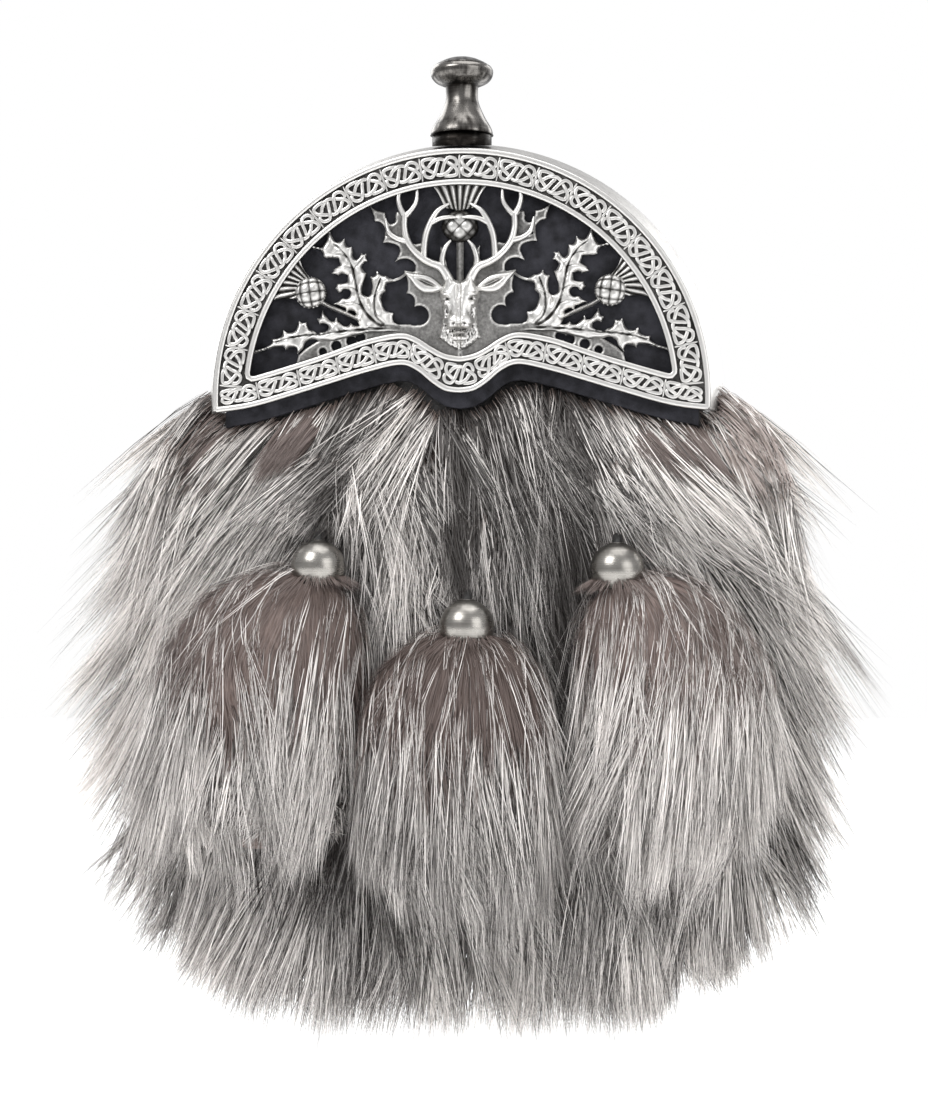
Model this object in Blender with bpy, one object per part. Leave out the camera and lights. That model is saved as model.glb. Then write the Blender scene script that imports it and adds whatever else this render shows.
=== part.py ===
"""Dress sporran pouch: a cast half-moon cantle with a turned knob, a leather pouch behind it,
a deep fur pelt round the pouch and three ball-capped fur tassels hanging in front.

Metres, +Z up, +X to the wearer's left as seen from the front, front faces -Y.
The origin is midway between the two strap staples on the back, on the strap's centre plane.
"""
import math

import bmesh
import bpy
import numpy as np
from mathutils import Vector
from mathutils.geometry import delaunay_2d_cdt

MM = 0.001
GAP = 0.3 * MM                       # clearance kept between neighbouring pieces

# ---- depths, front to back (all Y) ---------------------------------------------------------
CANTLE_RIM_Y = -35.8 * MM            # front of the raised rims
CANTLE_FIELD_Y = -35.0 * MM          # ground of the ornamented band
CANTLE_BACK_Y = -32.4 * MM           # back of the cantle's front plate
CANTLE_REAR_Y = -18.0 * MM           # rear edge of the flaring side wall
LEATHER = 2.0 * MM                   # pouch wall
BACKING_THICK = 2.5 * MM
PANEL_REAR_Y = -3.0 * MM             # wearer's side of the back panels
STRAP_ROOM = 6.0 * MM                # between back panel and staple, centred on Y = 0

BACKING_FRONT_Y = CANTLE_BACK_Y + GAP
POUCH_FRONT_Y = BACKING_FRONT_Y + BACKING_THICK + GAP
PANEL_FRONT_Y = PANEL_REAR_Y - LEATHER
POUCH_BACK_Y = PANEL_FRONT_Y - GAP

# ---- cantle --------------------------------------------------------------------------------
ARCH_CENTRE_Z = -20.5 * MM
ARCH_RADIUS = 75.3 * MM
WINDOW_RADIUS = 64.2 * MM
RIM_WIDTH = 1.8 * MM
WALL_FLARE = 4.2 * MM                # the side wall opens outward by this much to the rear
WALL_THICK = 1.8 * MM
ARCH_STEPS = 30

# lower edge of the cantle and of its window, right half, heights above the strap line
LOWER_EDGE_COLUMNS = ("from_centre", "outer_edge", "window_edge")
LOWER_EDGE = (
    (0.0, -19.1, -8.0),
    (4.4, -18.4, -7.1),
    (8.3, -16.0, -5.1),
    (13.1, -12.1, -2.1),
    (18.2, -10.5, -0.8),
    (28.2, -12.7, -2.6),
    (38.2, -15.7, -6.0),
    (48.0, -18.7, -9.2),
    (63.1, -23.0, -13.6),
    (75.1, -24.7, -16.4),
)

# ---- leather -------------------------------------------------------------------------------
BACKING_DROP = 4.4 * MM              # strip of backing that shows below the cantle
BACKING_RADIUS = 72.9 * MM
BACKING_HALF = 71.8 * MM
BACKING_END_FALL = 0.6 * MM          # the strip runs down a little more at its ends
POUCH_RADIUS = 72.0 * MM             # arch part of the pouch, inside the cantle's wall
POUCH_SIDE = (                       # height, half-width in millimetres
    (-24.0, 71.9),
    (-45.0, 76.5),
    (-75.0, 82.0),
    (-105.0, 84.0),
    (-132.0, 79.0),
    (-152.0, 63.0),
    (-163.0, 38.0),
    (-167.0, 0.0),
)
YOKE_BOTTOM_Z = -30.0 * MM           # the back yoke ends here,
MOUTH_TALL = 14.0 * MM               # then comes the pocket's open mouth

# ---- strap staples on the back -------------------------------------------------------------
STAPLE_X = 42.0 * MM
STAPLE_ROOM_TALL = 26.0 * MM
STAPLE_WIDE = 5.0 * MM
STAPLE_BAR = 2.5 * MM
STAPLE_FOOT_TALL = 8.0 * MM
STAPLE_FOOT_THICK = 1.4 * MM

# ---- knob ----------------------------------------------------------------------------------
KNOB_Y = 0.5 * (CANTLE_RIM_Y + CANTLE_REAR_Y)
COLLAR_RADIUS = 9.1 * MM
COLLAR_TOP_Z = 59.6 * MM
KNOB_PROFILE = (                     # radius, height in millimetres, top to bottom
    (0.0, 83.7),
    (3.6, 83.2),
    (6.6, 81.6),
    (8.9, 79.6),
    (9.55, 78.4),
    (9.4, 77.3),
    (8.2, 75.9),
    (5.6, 75.0),
    (4.97, 74.4),
    (4.97, 71.2),
    (6.1, 67.3),
    (7.26, 64.5),
    (8.5, 62.7),
    (9.3, 61.0),
    (9.2, COLLAR_TOP_Z / MM + 0.3),
    (0.0, COLLAR_TOP_Z / MM + 0.3),
)
TURNED_STEPS = 20

# ---- fur pelt: the outer form of the deep hair ---------------------------------------------
FUR_BACK_Y = POUCH_BACK_Y
FUR_FORM = (     # height, reach to the left, to the right and to the front (mm), squareness
    (-13.0, 68.0, 68.0, 25.2, 5.0),
    (-18.0, 81.0, 83.0, 26.0, 4.6),
    (-22.5, 87.5, 91.0, 28.0, 4.0),
    (-28.0, 93.5, 98.5, 31.0, 3.6),
    (-37.0, 99.0, 104.0, 36.5, 3.2),
    (-52.0, 104.0, 108.0, 41.5, 2.9),
    (-72.0, 109.0, 112.0, 44.5, 2.8),
    (-95.0, 113.0, 116.0, 45.5, 2.8),
    (-120.0, 114.5, 117.5, 46.0, 2.8),
    (-142.0, 111.0, 114.0, 46.0, 2.7),
    (-160.0, 105.0, 109.0, 45.0, 2.6),
    (-176.0, 97.0, 102.0, 42.0, 2.5),
    (-188.0, 85.0, 90.0, 37.0, 2.3),
    (-195.0, 70.0, 75.0, 31.0, 2.2),
    (-199.0, 50.0, 54.0, 22.0, 2.1),
)
FUR_AROUND = 36
HAIR_CLEAR = 0.1                     # far enough to clear all the hair

# ---- tassels -------------------------------------------------------------------------------
CAP_RADIUS = 8.0 * MM
CAP_AHEAD = 2.0 * MM                 # the ball hangs this far in front of its tassel's middle
CAP_SKIRT = 5.6 * MM                 # the ball is cut flat this far below its centre
# name, ball's X and Z, sideways lean, bottom Z, half-width, half-depth and middle Y (mm)
TASSELS = (
    ("left", -40.1, -71.3, -18.0, -166.0, 29.6, 18.5, -52.5),
    ("centre", 4.6, -88.6, -3.2, -175.0, 29.6, 18.5, -60.5),
    ("right", 47.9, -72.2, 17.0, -166.0, 29.6, 18.5, -52.5),
)
TASSEL_FORM = (                      # fractions of height, half-width and lean, top to bottom
    (0.00, 0.15, 0.00),
    (0.02, 0.32, 0.10),
    (0.05, 0.55, 0.32),
    (0.10, 0.74, 0.55),
    (0.18, 0.89, 0.75),
    (0.30, 0.98, 0.90),
    (0.46, 1.00, 1.00),
    (0.62, 0.95, 1.02),
    (0.76, 0.84, 1.02),
    (0.88, 0.68, 1.02),
    (0.96, 0.50, 1.02),
    (1.00, 0.30, 1.02),
)
TASSEL_AROUND = 20
THONG_RADIUS = 1.5 * MM
THONG_RISE = 11.0 * MM

# ---- ornament in the cantle's window, right half, millimetres ------------------------------
ANTLERS = (                          # each tine: x, z and width along it, root to tip
    ((3.6, 15.5, 2.6), (5.1, 19.0, 2.4), (9.5, 21.8, 2.3), (14.6, 24.7, 2.1), (18.2, 27.3, 1.9),
     (21.5, 29.9, 1.5), (22.6, 33.6, 0.8)),
    ((15.6, 25.4, 2.0), (16.7, 30.6, 1.9), (17.1, 35.3, 1.8), (18.9, 38.6, 1.4), (18.1, 42.4, 1.0)),
    ((16.9, 34.4, 1.7), (14.6, 36.6, 1.5), (12.6, 39.3, 1.3), (12.8, 43.4, 1.0)),
    ((10.5, 22.4, 2.0), (10.6, 27.7, 1.9), (9.5, 32.0, 1.7), (7.6, 35.0, 1.3), (3.2, 37.7, 0.8)),
    ((8.9, 32.6, 1.5), (6.4, 33.6, 1.3), (1.6, 33.9, 0.8)),
    ((5.1, 18.6, 2.0), (5.2, 22.6, 1.6), (2.6, 26.8, 0.7)),
)
STEMS = (
    ((0.0, 12.5, 1.9), (0.0, 28.0, 1.9)),
    ((24.0, 1.8, 1.6), (31.1, 2.9, 1.6), (42.3, 8.3, 1.5)),
    ((25.5, 16.2, 0.9), (20.5, 15.4, 0.8), (16.4, 17.0, 0.9)),
)
LEAVES = (                           # midrib, half-width and number of lobes to a side
    (((19.2, 0.7), (27.9, 5.3), (31.8, 11.4), (32.9, 18.5), (36.6, 24.6), (41.6, 30.6)), 5.2, 6),
    (((30.5, 22.0), (36.4, 23.9), (41.0, 25.4), (46.6, 26.6)), 2.6, 2),
    (((22.0, 1.0), (26.6, 6.8), (26.0, 13.4), (24.6, 19.2)), 3.6, 4),
    (((19.2, 0.0), (28.0, 0.9), (40.0, 1.0), (52.0, -1.9), (64.2, -6.6)), 4.3, 6),
    (((28.0, -0.2), (37.0, -4.4), (47.5, -9.4)), 2.6, 4),
)
GROUND_PLATES = (                    # low metal between antlers, ears and face
    ((0.0, -8.4), (8.6, -4.4), (19.5, 0.0), (16.0, 4.6), (9.6, 4.2), (9.9, 9.6), (16.6, 17.8),
     (9.6, 19.6), (6.4, 19.2), (0.0, 14.0)),
    ((8.8, 21.0), (15.2, 20.6), (17.4, 24.6), (23.8, 27.6), (25.2, 35.6), (28.2, 40.6),
     (22.4, 38.2), (20.6, 34.4), (18.0, 31.6), (11.6, 27.4)),
)
EAR = ((5.0, 12.4), (9.6, 11.4), (13.2, 13.6), (16.6, 17.8), (11.0, 17.2), (7.0, 15.0))
BULB_CENTRE = (0.0, 31.4)
BULB_RADIUS = 5.6 * MM
SIDE_BULB_CENTRE = (45.0, 11.6)
SIDE_BULB_RADIUS = 4.6 * MM
CROWN = ((0.0, 35.0), (3.6, 36.0), (8.6, 43.9), (0.0, 44.4))
SIDE_CROWN = ((46.4, 15.6), (49.0, 8.6), (59.6, 7.6), (58.0, 15.0), (50.4, 22.4))
ORNAMENT_FRONT_Y = -35.4 * MM
GROUND_FRONT_Y = -34.0 * MM
# forehead, bridge, nose and the ruff under the chin: z, y, radii across, up and forward (mm)
HEAD = (
    (11.0, -34.4, 5.3, 6.2, 3.6),
    (5.6, -34.8, 3.9, 8.4, 4.2),
    (1.4, -36.2, 3.1, 3.2, 3.3),
    (-2.2, -34.2, 6.1, 5.4, 2.8),
)


# ============================ helpers =======================================================

def clear_scene():
    for old in list(bpy.data.objects):
        bpy.data.objects.remove(old, do_unlink=True)


def make_material(name, colour, roughness, metallic):
    material = bpy.data.materials.new(name)
    material.use_nodes = True
    shader = material.node_tree.nodes["Principled BSDF"]
    shader.inputs["Base Color"].default_value = (*colour, 1.0)
    shader.inputs["Roughness"].default_value = roughness
    shader.inputs["Metallic"].default_value = metallic
    material.diffuse_color = (*colour, 1.0)
    return material


def object_from_bmesh(name, bm, material=None, smooth_below=None):
    bmesh.ops.recalc_face_normals(bm, faces=bm.faces)
    mesh = bpy.data.meshes.new(name)
    bm.to_mesh(mesh)
    bm.free()
    item = bpy.data.objects.new(name, mesh)
    bpy.context.scene.collection.objects.link(item)
    finish(item, material, smooth_below)
    return item


def finish(item, material, smooth_below):
    if material is not None:
        item.data.materials.clear()
        item.data.materials.append(material)
    if smooth_below is not None:
        item.data.shade_smooth()
        item.data.set_sharp_from_angle(angle=math.radians(smooth_below))


def combine(target, other, operation, solver="EXACT"):
    """Cut or join `other` into `target` for good and remove it."""
    modifier = target.modifiers.new(operation.lower(), "BOOLEAN")
    modifier.solver = solver
    modifier.operation = operation
    modifier.object = other
    depsgraph = bpy.context.evaluated_depsgraph_get()
    mesh = bpy.data.meshes.new_from_object(target.evaluated_get(depsgraph))
    target.modifiers.clear()
    old_mesh = target.data
    name = old_mesh.name
    target.data = mesh
    bpy.data.meshes.remove(old_mesh)
    mesh.name = name
    bpy.data.objects.remove(other, do_unlink=True)
    return target


def smooth_path(points, steps):
    """Catmull-Rom curve through the points, `steps` pieces to each span."""
    points = np.asarray(points, dtype=float)
    padded = np.vstack([2 * points[0] - points[1], points, 2 * points[-1] - points[-2]])
    path = []
    for before, start, end, after in zip(padded, padded[1:], padded[2:], padded[3:]):
        for t in np.arange(steps) / steps:
            path.append(0.5 * (2 * start + (end - before) * t
                               + (2 * before - 5 * start + 4 * end - after) * t ** 2
                               + (3 * start - before - 3 * end + after) * t ** 3))
    path.append(points[-1])
    return np.array(path)


def inset(outline, distance):
    """Move a closed counterclockwise outline inward, corners mitred."""
    outline = np.asarray(outline, dtype=float)
    edges = np.roll(outline, -1, axis=0) - outline
    edges /= np.linalg.norm(edges, axis=1)[:, None]
    inward = np.column_stack([-edges[:, 1], edges[:, 0]])
    before = np.roll(inward, 1, axis=0)
    mitre = (inward + before) / (1.0 + np.sum(inward * before, axis=1))[:, None]
    return outline + mitre * distance


def prism(name, outline, y_front, y_back, material=None, smooth_below=None):
    """Flat piece: a closed outline in X and Z, thick along Y."""
    bm = bmesh.new()
    front = [bm.verts.new((x, y_front, z)) for x, z in outline]
    back = [bm.verts.new((x, y_back, z)) for x, z in outline]
    bm.faces.new(front)
    bm.faces.new(back[::-1])
    for i in range(len(outline)):
        j = (i + 1) % len(outline)
        bm.faces.new((front[i], back[i], back[j], front[j]))
    bmesh.ops.triangulate(bm, faces=[face for face in bm.faces if len(face.verts) > 4])
    return object_from_bmesh(name, bm, material, smooth_below)


def loft(name, rings, material=None, smooth_below=None):
    """Closed body through rings of equal length, its two ends filled."""
    bm = bmesh.new()
    loops = [[bm.verts.new(point) for point in ring] for ring in rings]
    for ring, following in zip(loops, loops[1:]):
        for i in range(len(ring)):
            j = (i + 1) % len(ring)
            bm.faces.new((ring[i], ring[j], following[j], following[i]))
    bm.faces.new(loops[0][::-1])
    bm.faces.new(loops[-1])
    bmesh.ops.triangulate(bm, faces=[face for face in bm.faces if len(face.verts) > 4])
    return object_from_bmesh(name, bm, material, smooth_below)


def turned(name, profile, centre_x, centre_y, material):
    """Round piece about an upright axis from (radius, height) rows that start and end at 0."""
    bm = bmesh.new()
    first, *middle, last = profile
    top = bm.verts.new((centre_x, centre_y, first[1]))
    bottom = bm.verts.new((centre_x, centre_y, last[1]))
    rings = []
    for radius, height in middle:
        ring = []
        for k in range(TURNED_STEPS):
            angle = math.tau * k / TURNED_STEPS
            ring.append(bm.verts.new((centre_x + radius * math.cos(angle),
                                      centre_y + radius * math.sin(angle), height)))
        rings.append(ring)
    for k in range(TURNED_STEPS):
        j = (k + 1) % TURNED_STEPS
        bm.faces.new((top, rings[0][k], rings[0][j]))
        bm.faces.new((bottom, rings[-1][j], rings[-1][k]))
        for upper, lower in zip(rings, rings[1:]):
            bm.faces.new((upper[k], lower[k], lower[j], upper[j]))
    return object_from_bmesh(name, bm, material, smooth_below=32)


def box(name, low, high):
    bm = bmesh.new()
    bmesh.ops.create_cube(bm, size=1.0)
    low, high = Vector(low), Vector(high)
    for vert in bm.verts:
        vert.co = (low + high) / 2 + Vector(a * b for a, b in zip(vert.co, high - low))
    return object_from_bmesh(name, bm)


# ============================ cantle ========================================================

def lower_edge(column):
    """Right half of the cantle's or the window's lower edge, centre to corner."""
    index = LOWER_EDGE_COLUMNS.index(column)
    return smooth_path([(row[0] * MM, row[index] * MM) for row in LOWER_EDGE], 2)


def half_moon(edge, radius):
    """Counterclockwise outline: the lower edge from left to right, then the arch back."""
    centre = np.array([0.0, ARCH_CENTRE_Z])
    inside = edge[np.linalg.norm(edge - centre, axis=1) < radius - 0.6 * MM]
    outside = edge[len(inside):]
    crossing = outside[0] if len(outside) else edge[-1]
    corner = centre + (crossing - centre) * radius / np.linalg.norm(crossing - centre)
    right = np.vstack([inside, corner])
    left = right[:0:-1] * (-1.0, 1.0)
    start = math.atan2(corner[1] - ARCH_CENTRE_Z, corner[0])
    angles = np.linspace(start, math.pi - start, ARCH_STEPS + 1)[1:-1]
    arch = np.column_stack([radius * np.cos(angles), ARCH_CENTRE_Z + radius * np.sin(angles)])
    return np.vstack([left, right, arch])


def arch_wall():
    """Side wall round the arch, opening outward to the rear; closed at both corners."""
    start = math.asin((LOWER_EDGE[-1][1] * MM + 0.5 * MM - ARCH_CENTRE_Z) / ARCH_RADIUS)
    front_y = CANTLE_FIELD_Y + 0.6 * MM
    flare = WALL_FLARE / (CANTLE_REAR_Y - CANTLE_FIELD_Y)
    front_radius = ARCH_RADIUS + flare * 0.6 * MM
    rear_radius = ARCH_RADIUS + WALL_FLARE
    section = ((front_radius, front_y), (rear_radius, CANTLE_REAR_Y),
               (rear_radius - WALL_THICK, CANTLE_REAR_Y), (front_radius - WALL_THICK, front_y))
    rings = []
    for angle in np.linspace(start, math.pi - start, ARCH_STEPS + 1):
        rings.append([(radius * math.cos(angle), y, ARCH_CENTRE_Z + radius * math.sin(angle))
                      for radius, y in section])
    return loft("arch_wall", rings)


def tapered_bar(points):
    """Outline of a bar of varying width along (x, z, width) rows in millimetres."""
    path = smooth_path(points, 2) * MM
    along = np.gradient(path[:, :2], axis=0)
    along /= np.linalg.norm(along, axis=1)[:, None]
    across = np.column_stack([-along[:, 1], along[:, 0]]) * path[:, 2:3] / 2
    return np.vstack([path[:, :2] - across, (path[:, :2] + across)[::-1]])


def spiky_leaf(midrib, half_width, lobes):
    """Thistle leaf outline: pointed lobes on both sides of a curved midrib."""
    spine = smooth_path(midrib, 8) * MM
    along = np.gradient(spine, axis=0)
    along /= np.linalg.norm(along, axis=1)[:, None]
    across = np.column_stack([-along[:, 1], along[:, 0]])
    sides = {1: [], -1: []}
    for side, outline in sides.items():
        for k in range(2 * lobes + 1):
            share = (k + 0.5) / (2 * lobes + 1.5)
            at = int(share * (len(spine) - 1))
            swell = math.sin(math.pi * min(share * 1.15 + 0.08, 1.0)) ** 0.5
            reach = half_width * MM * swell * (1.0 if k % 2 else 0.42)
            forward = along[at] * half_width * MM * (0.35 if k % 2 else 0.0)
            outline.append(spine[at] + across[at] * side * reach + forward)
    return np.vstack([spine[:1], sides[-1], spine[-1:], sides[1][::-1]])


def both_sides(outline):
    """The outline and its mirror image; one outline where it starts on the centre line."""
    outline = np.asarray(outline, dtype=float)
    mirror = (outline * (-1.0, 1.0))[::-1]
    if abs(outline[0][0]) > 1e-9:
        return [outline, mirror]
    off_centre = mirror[np.abs(mirror[:, 0]) > 1e-9]
    return [np.vstack([outline, off_centre])]


def triangle_levels(layers):
    """Overlay the layers' outlines in one flat triangle mesh with a front level for each.

    A layer is (outline, level, rule): rule "set" replaces what lies below it, level None
    makes a hole, and rule "raise" only ever brings the front nearer to the viewer.
    """
    points, faces = [], []
    for outline, _, _ in layers:
        faces.append(list(range(len(points), len(points) + len(outline))))
        points += [tuple(point) for point in outline]
    flat_points, _, triangles, _, _, sources = delaunay_2d_cdt(points, [], faces, 1, 1e-6, True)
    levels = []
    for source in sources:
        level = None
        for index in sorted(source):
            _, new_level, rule = layers[index]
            if rule == "set" or level is None or new_level < level:
                level = new_level
        levels.append(level)
    return flat_points, triangles, levels


def stepped_relief(name, layers, back_y):
    """Solid plate with a flat back whose front stands at the level of its topmost layer."""
    flat_points, triangles, levels = triangle_levels(layers)
    bm = bmesh.new()
    made = {}

    def vertex(index, y):
        if (index, y) not in made:
            made[index, y] = bm.verts.new((flat_points[index][0], y, flat_points[index][1]))
        return made[index, y]

    edge_levels = {}
    point_levels = {}
    for triangle, level in zip(triangles, levels):
        y = back_y if level is None else level
        for k, start in enumerate(triangle):
            edge = frozenset((start, triangle[(k + 1) % 3]))
            edge_levels.setdefault(edge, []).append(y)
            point_levels.setdefault(start, set()).add(y)
        if level is not None:
            bm.faces.new([vertex(index, y) for index in triangle])
            bm.faces.new([vertex(index, back_y) for index in reversed(triangle)])
    for edge, sides in edge_levels.items():
        near, far = min(sides), (max(sides) if len(sides) == 2 else back_y)
        if near == far:
            continue
        start, end = edge
        rising = sorted((y for y in point_levels[end] if near < y < far), reverse=True)
        falling = sorted(y for y in point_levels[start] if near < y < far)
        bm.faces.new([vertex(start, far), vertex(end, far), *(vertex(end, y) for y in rising),
                      vertex(end, near), vertex(start, near), *(vertex(start, y) for y in falling)])
    bmesh.ops.triangulate(bm, faces=[face for face in bm.faces if len(face.verts) > 4])
    return object_from_bmesh(name, bm)


def ellipsoid(centre, radii, rings, segments):
    bm = bmesh.new()
    bmesh.ops.create_uvsphere(bm, u_segments=segments, v_segments=rings, radius=1.0)
    for vert in bm.verts:
        vert.co = Vector(c + v * r for c, v, r in zip(centre, vert.co, radii))
    return object_from_bmesh("ellipsoid", bm)


def disc(centre, radius, sides=14):
    angles = np.linspace(0.0, math.tau, sides, endpoint=False)
    return np.column_stack([centre[0] * MM + radius * np.cos(angles),
                            centre[1] * MM + radius * np.sin(angles)])


def ornament_layers():
    """Stag's antlers and ears, thistles and leaves, over low plates between them."""
    stem, *side_stems = STEMS
    low = [np.array(plate) * MM for plate in GROUND_PLATES]
    low.append(tapered_bar(stem))
    high = [spiky_leaf(midrib, half_width, lobes) for midrib, half_width, lobes in LEAVES]
    high += [tapered_bar(bar) for bar in (*ANTLERS, *side_stems)]
    high += [np.array(outline) * MM for outline in (EAR, SIDE_CROWN, CROWN)]
    high.append(disc(SIDE_BULB_CENTRE, SIDE_BULB_RADIUS))
    layers = [(disc(BULB_CENTRE, BULB_RADIUS), ORNAMENT_FRONT_Y, "raise")]
    for outlines, level in ((low, GROUND_FRONT_Y), (high, ORNAMENT_FRONT_Y)):
        for outline in outlines:
            layers += [(part, level, "raise") for part in both_sides(outline)]
    return layers


def stag_head():
    """Rounded stag's face, cut off flat where it meets the plate's back."""
    head = None
    for z, y, across, up, forward in HEAD:
        lump = ellipsoid((0.0, y * MM, z * MM), (across * MM, forward * MM, up * MM), 8, 12)
        head = lump if head is None else combine(head, lump, "UNION")
    behind = box("behind", (-20 * MM, CANTLE_BACK_Y - 0.1 * MM, -20 * MM), (20 * MM, 0.0, 30 * MM))
    return combine(head, behind, "DIFFERENCE")


def make_cantle(material):
    """One casting: rimmed band, openwork ornament, side wall and the stag's head."""
    outer = half_moon(lower_edge("outer_edge"), ARCH_RADIUS)
    window = half_moon(lower_edge("window_edge"), WINDOW_RADIUS)
    frame = [(outer, CANTLE_RIM_Y, "set"), (inset(outer, RIM_WIDTH), CANTLE_FIELD_Y, "set"),
             (inset(window, -RIM_WIDTH), CANTLE_RIM_Y, "set"), (window, None, "set")]
    cantle = stepped_relief("cantle", frame + ornament_layers(), CANTLE_BACK_Y)
    combine(cantle, arch_wall(), "UNION", "MANIFOLD")
    combine(cantle, stag_head(), "UNION", "MANIFOLD")
    finish(cantle, material, 28)
    return cantle


# ============================ knob ==========================================================

def make_knob(material):
    profile = [(radius * MM, height * MM) for radius, height in KNOB_PROFILE]
    return turned("knob", profile, 0.0, KNOB_Y, material)


def make_knob_collar(material):
    """Seat of the knob, its underside fitted to the sloping top of the arch."""
    low_z = ARCH_CENTRE_Z + ARCH_RADIUS - 3.0 * MM
    profile = ((0.0, COLLAR_TOP_Z), (COLLAR_RADIUS, COLLAR_TOP_Z), (COLLAR_RADIUS, low_z), (0.0, low_z))
    collar = turned("knob_collar", profile, 0.0, KNOB_Y, material)
    slope = WALL_FLARE / (CANTLE_REAR_Y - CANTLE_FIELD_Y)
    rings = []
    for y in (KNOB_Y - 14 * MM, KNOB_Y + 14 * MM):
        radius = ARCH_RADIUS + GAP + slope * max(y - CANTLE_FIELD_Y, -3 * MM)
        rings.append([(radius * math.sin(angle), y, ARCH_CENTRE_Z + radius * math.cos(angle))
                      for angle in np.linspace(-0.5, 0.5, 31)] + [(0.0, y, ARCH_CENTRE_Z)])
    return combine(collar, loft("saddle", rings), "DIFFERENCE")


# ============================ leather =======================================================

def pouch_outline(offset=0.0):
    """Closed outline of the pouch seen from the front: half-moon top and full rounded bag."""
    side = smooth_path([(half * MM, height * MM) for height, half in POUCH_SIDE], 2)
    start = math.asin((side[0][1] - ARCH_CENTRE_Z) / POUCH_RADIUS)
    angles = np.linspace(start, math.pi - start, ARCH_STEPS + 1)[1:-1]
    arch = np.column_stack([POUCH_RADIUS * np.cos(angles),
                            ARCH_CENTRE_Z + POUCH_RADIUS * np.sin(angles)])
    right = side[::-1]
    left = side[:-1] * (-1.0, 1.0)
    return inset(np.vstack([right, arch, left]), -offset)


def make_pouch(material):
    """Front panel and gusset in one: a tub open to the rear."""
    pouch = prism("pouch", pouch_outline(), POUCH_FRONT_Y, POUCH_BACK_Y)
    hollow = prism("hollow", pouch_outline(-LEATHER), POUCH_FRONT_Y + LEATHER, POUCH_BACK_Y + MM)
    combine(pouch, hollow, "DIFFERENCE")
    finish(pouch, material, 35)
    return pouch


def back_part(name, top_z, bottom_z, material):
    """Slice of the flat leather back between two heights, its cut edges level."""
    outline = pouch_outline()
    right = outline[outline[:, 0] >= -1e-9]
    right = right[np.argsort(right[:, 1])]
    kept = right[(right[:, 1] > bottom_z) & (right[:, 1] < top_z)]
    for cut_z in (bottom_z, top_z):
        if right[0][1] < cut_z < right[-1][1]:
            cut = np.array([[np.interp(cut_z, right[:, 1], right[:, 0]), cut_z]])
            kept = np.vstack([cut, kept] if cut_z == bottom_z else [kept, cut])
    left = (kept * (-1.0, 1.0))[::-1]
    left = left[np.abs(left[:, 0]) > 1e-9]
    return prism(name, np.vstack([left, kept]), PANEL_FRONT_Y, PANEL_REAR_Y, material, 35)


def make_backing(material):
    """Black half-moon behind the openwork, dropping below the cantle's edge."""
    edge = lower_edge("outer_edge") - (0.0, BACKING_DROP)
    inside = edge[edge[:, 0] < BACKING_HALF - MM]
    right = np.vstack([inside, (BACKING_HALF, inside[-1][1] - BACKING_END_FALL)])
    left = right[:0:-1] * (-1.0, 1.0)
    start = math.acos(BACKING_HALF / BACKING_RADIUS)
    angles = np.linspace(start, math.pi - start, ARCH_STEPS + 1)
    arch = np.column_stack([BACKING_RADIUS * np.cos(angles),
                            ARCH_CENTRE_Z + BACKING_RADIUS * np.sin(angles)])
    return prism("cantle_backing", np.vstack([left, right, arch]), BACKING_FRONT_Y,
                 BACKING_FRONT_Y + BACKING_THICK, material, 35)


# ============================ staples =======================================================

def make_staple(side_name, centre_x, material):
    """Upright metal staple that the strap passes through, with two flat feet on the leather."""
    foot_y = PANEL_REAR_Y + GAP
    room_y = PANEL_REAR_Y + STRAP_ROOM
    half_tall = STAPLE_ROOM_TALL / 2
    half_wide = STAPLE_WIDE / 2
    outer = box("strap_staple_" + side_name,
                (centre_x - half_wide, foot_y, -half_tall - STAPLE_BAR),
                (centre_x + half_wide, room_y + STAPLE_BAR, half_tall + STAPLE_BAR))
    room = box("room", (centre_x - 0.1, foot_y - MM, -half_tall), (centre_x + 0.1, room_y, half_tall))
    combine(outer, room, "DIFFERENCE")
    for sign in (1, -1):
        heights = sorted((sign * (half_tall + 0.4 * MM), sign * (half_tall + STAPLE_FOOT_TALL)))
        foot = box("foot", (centre_x - half_wide - 1.2 * MM, foot_y, heights[0]),
                   (centre_x + half_wide + 1.2 * MM, foot_y + STAPLE_FOOT_THICK, heights[1]))
        combine(outer, foot, "UNION")
    finish(outer, material, 35)
    return outer


# ============================ fur ===========================================================

def fur_ring(height, left, right, front, squareness):
    """One level of the pelt's outer form: a rounded front and sides, flat at the back."""
    points = []
    for k in range(FUR_AROUND + 1):
        angle = math.pi * k / FUR_AROUND
        x = -math.copysign(abs(math.cos(angle)) ** (2 / squareness), math.cos(angle))
        y = math.sin(angle) ** (2 / squareness)
        reach = left if x < 0 else right
        points.append((x * reach, FUR_BACK_Y - y * front, height))
    return points


def tassel_levels(cap_x, cap_z, lean_x, bottom_z, half_wide, half_deep, middle_y, clearance):
    """Rings of a hanging tassel's outer form, grown by the clearance."""
    top_z = cap_z - CAP_SKIRT - GAP + clearance
    levels = []
    for down, width, lean in TASSEL_FORM:
        centre_x = cap_x + lean_x * lean
        height = top_z + (bottom_z - clearance - top_z) * down
        wide = half_wide * width + clearance
        deep = half_deep * width + clearance
        ring_y = middle_y - CAP_AHEAD * max(1.0 - lean, 0.0)
        levels.append([(centre_x + wide * math.cos(a), ring_y + deep * math.sin(a), height)
                       for a in np.linspace(0.0, math.tau, TASSEL_AROUND, endpoint=False)])
    return levels


def tassel_body(name, row, clearance, material=None):
    sizes = [value * MM for value in row[1:]]
    return loft(name, tassel_levels(*sizes, clearance), material, 50)


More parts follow.
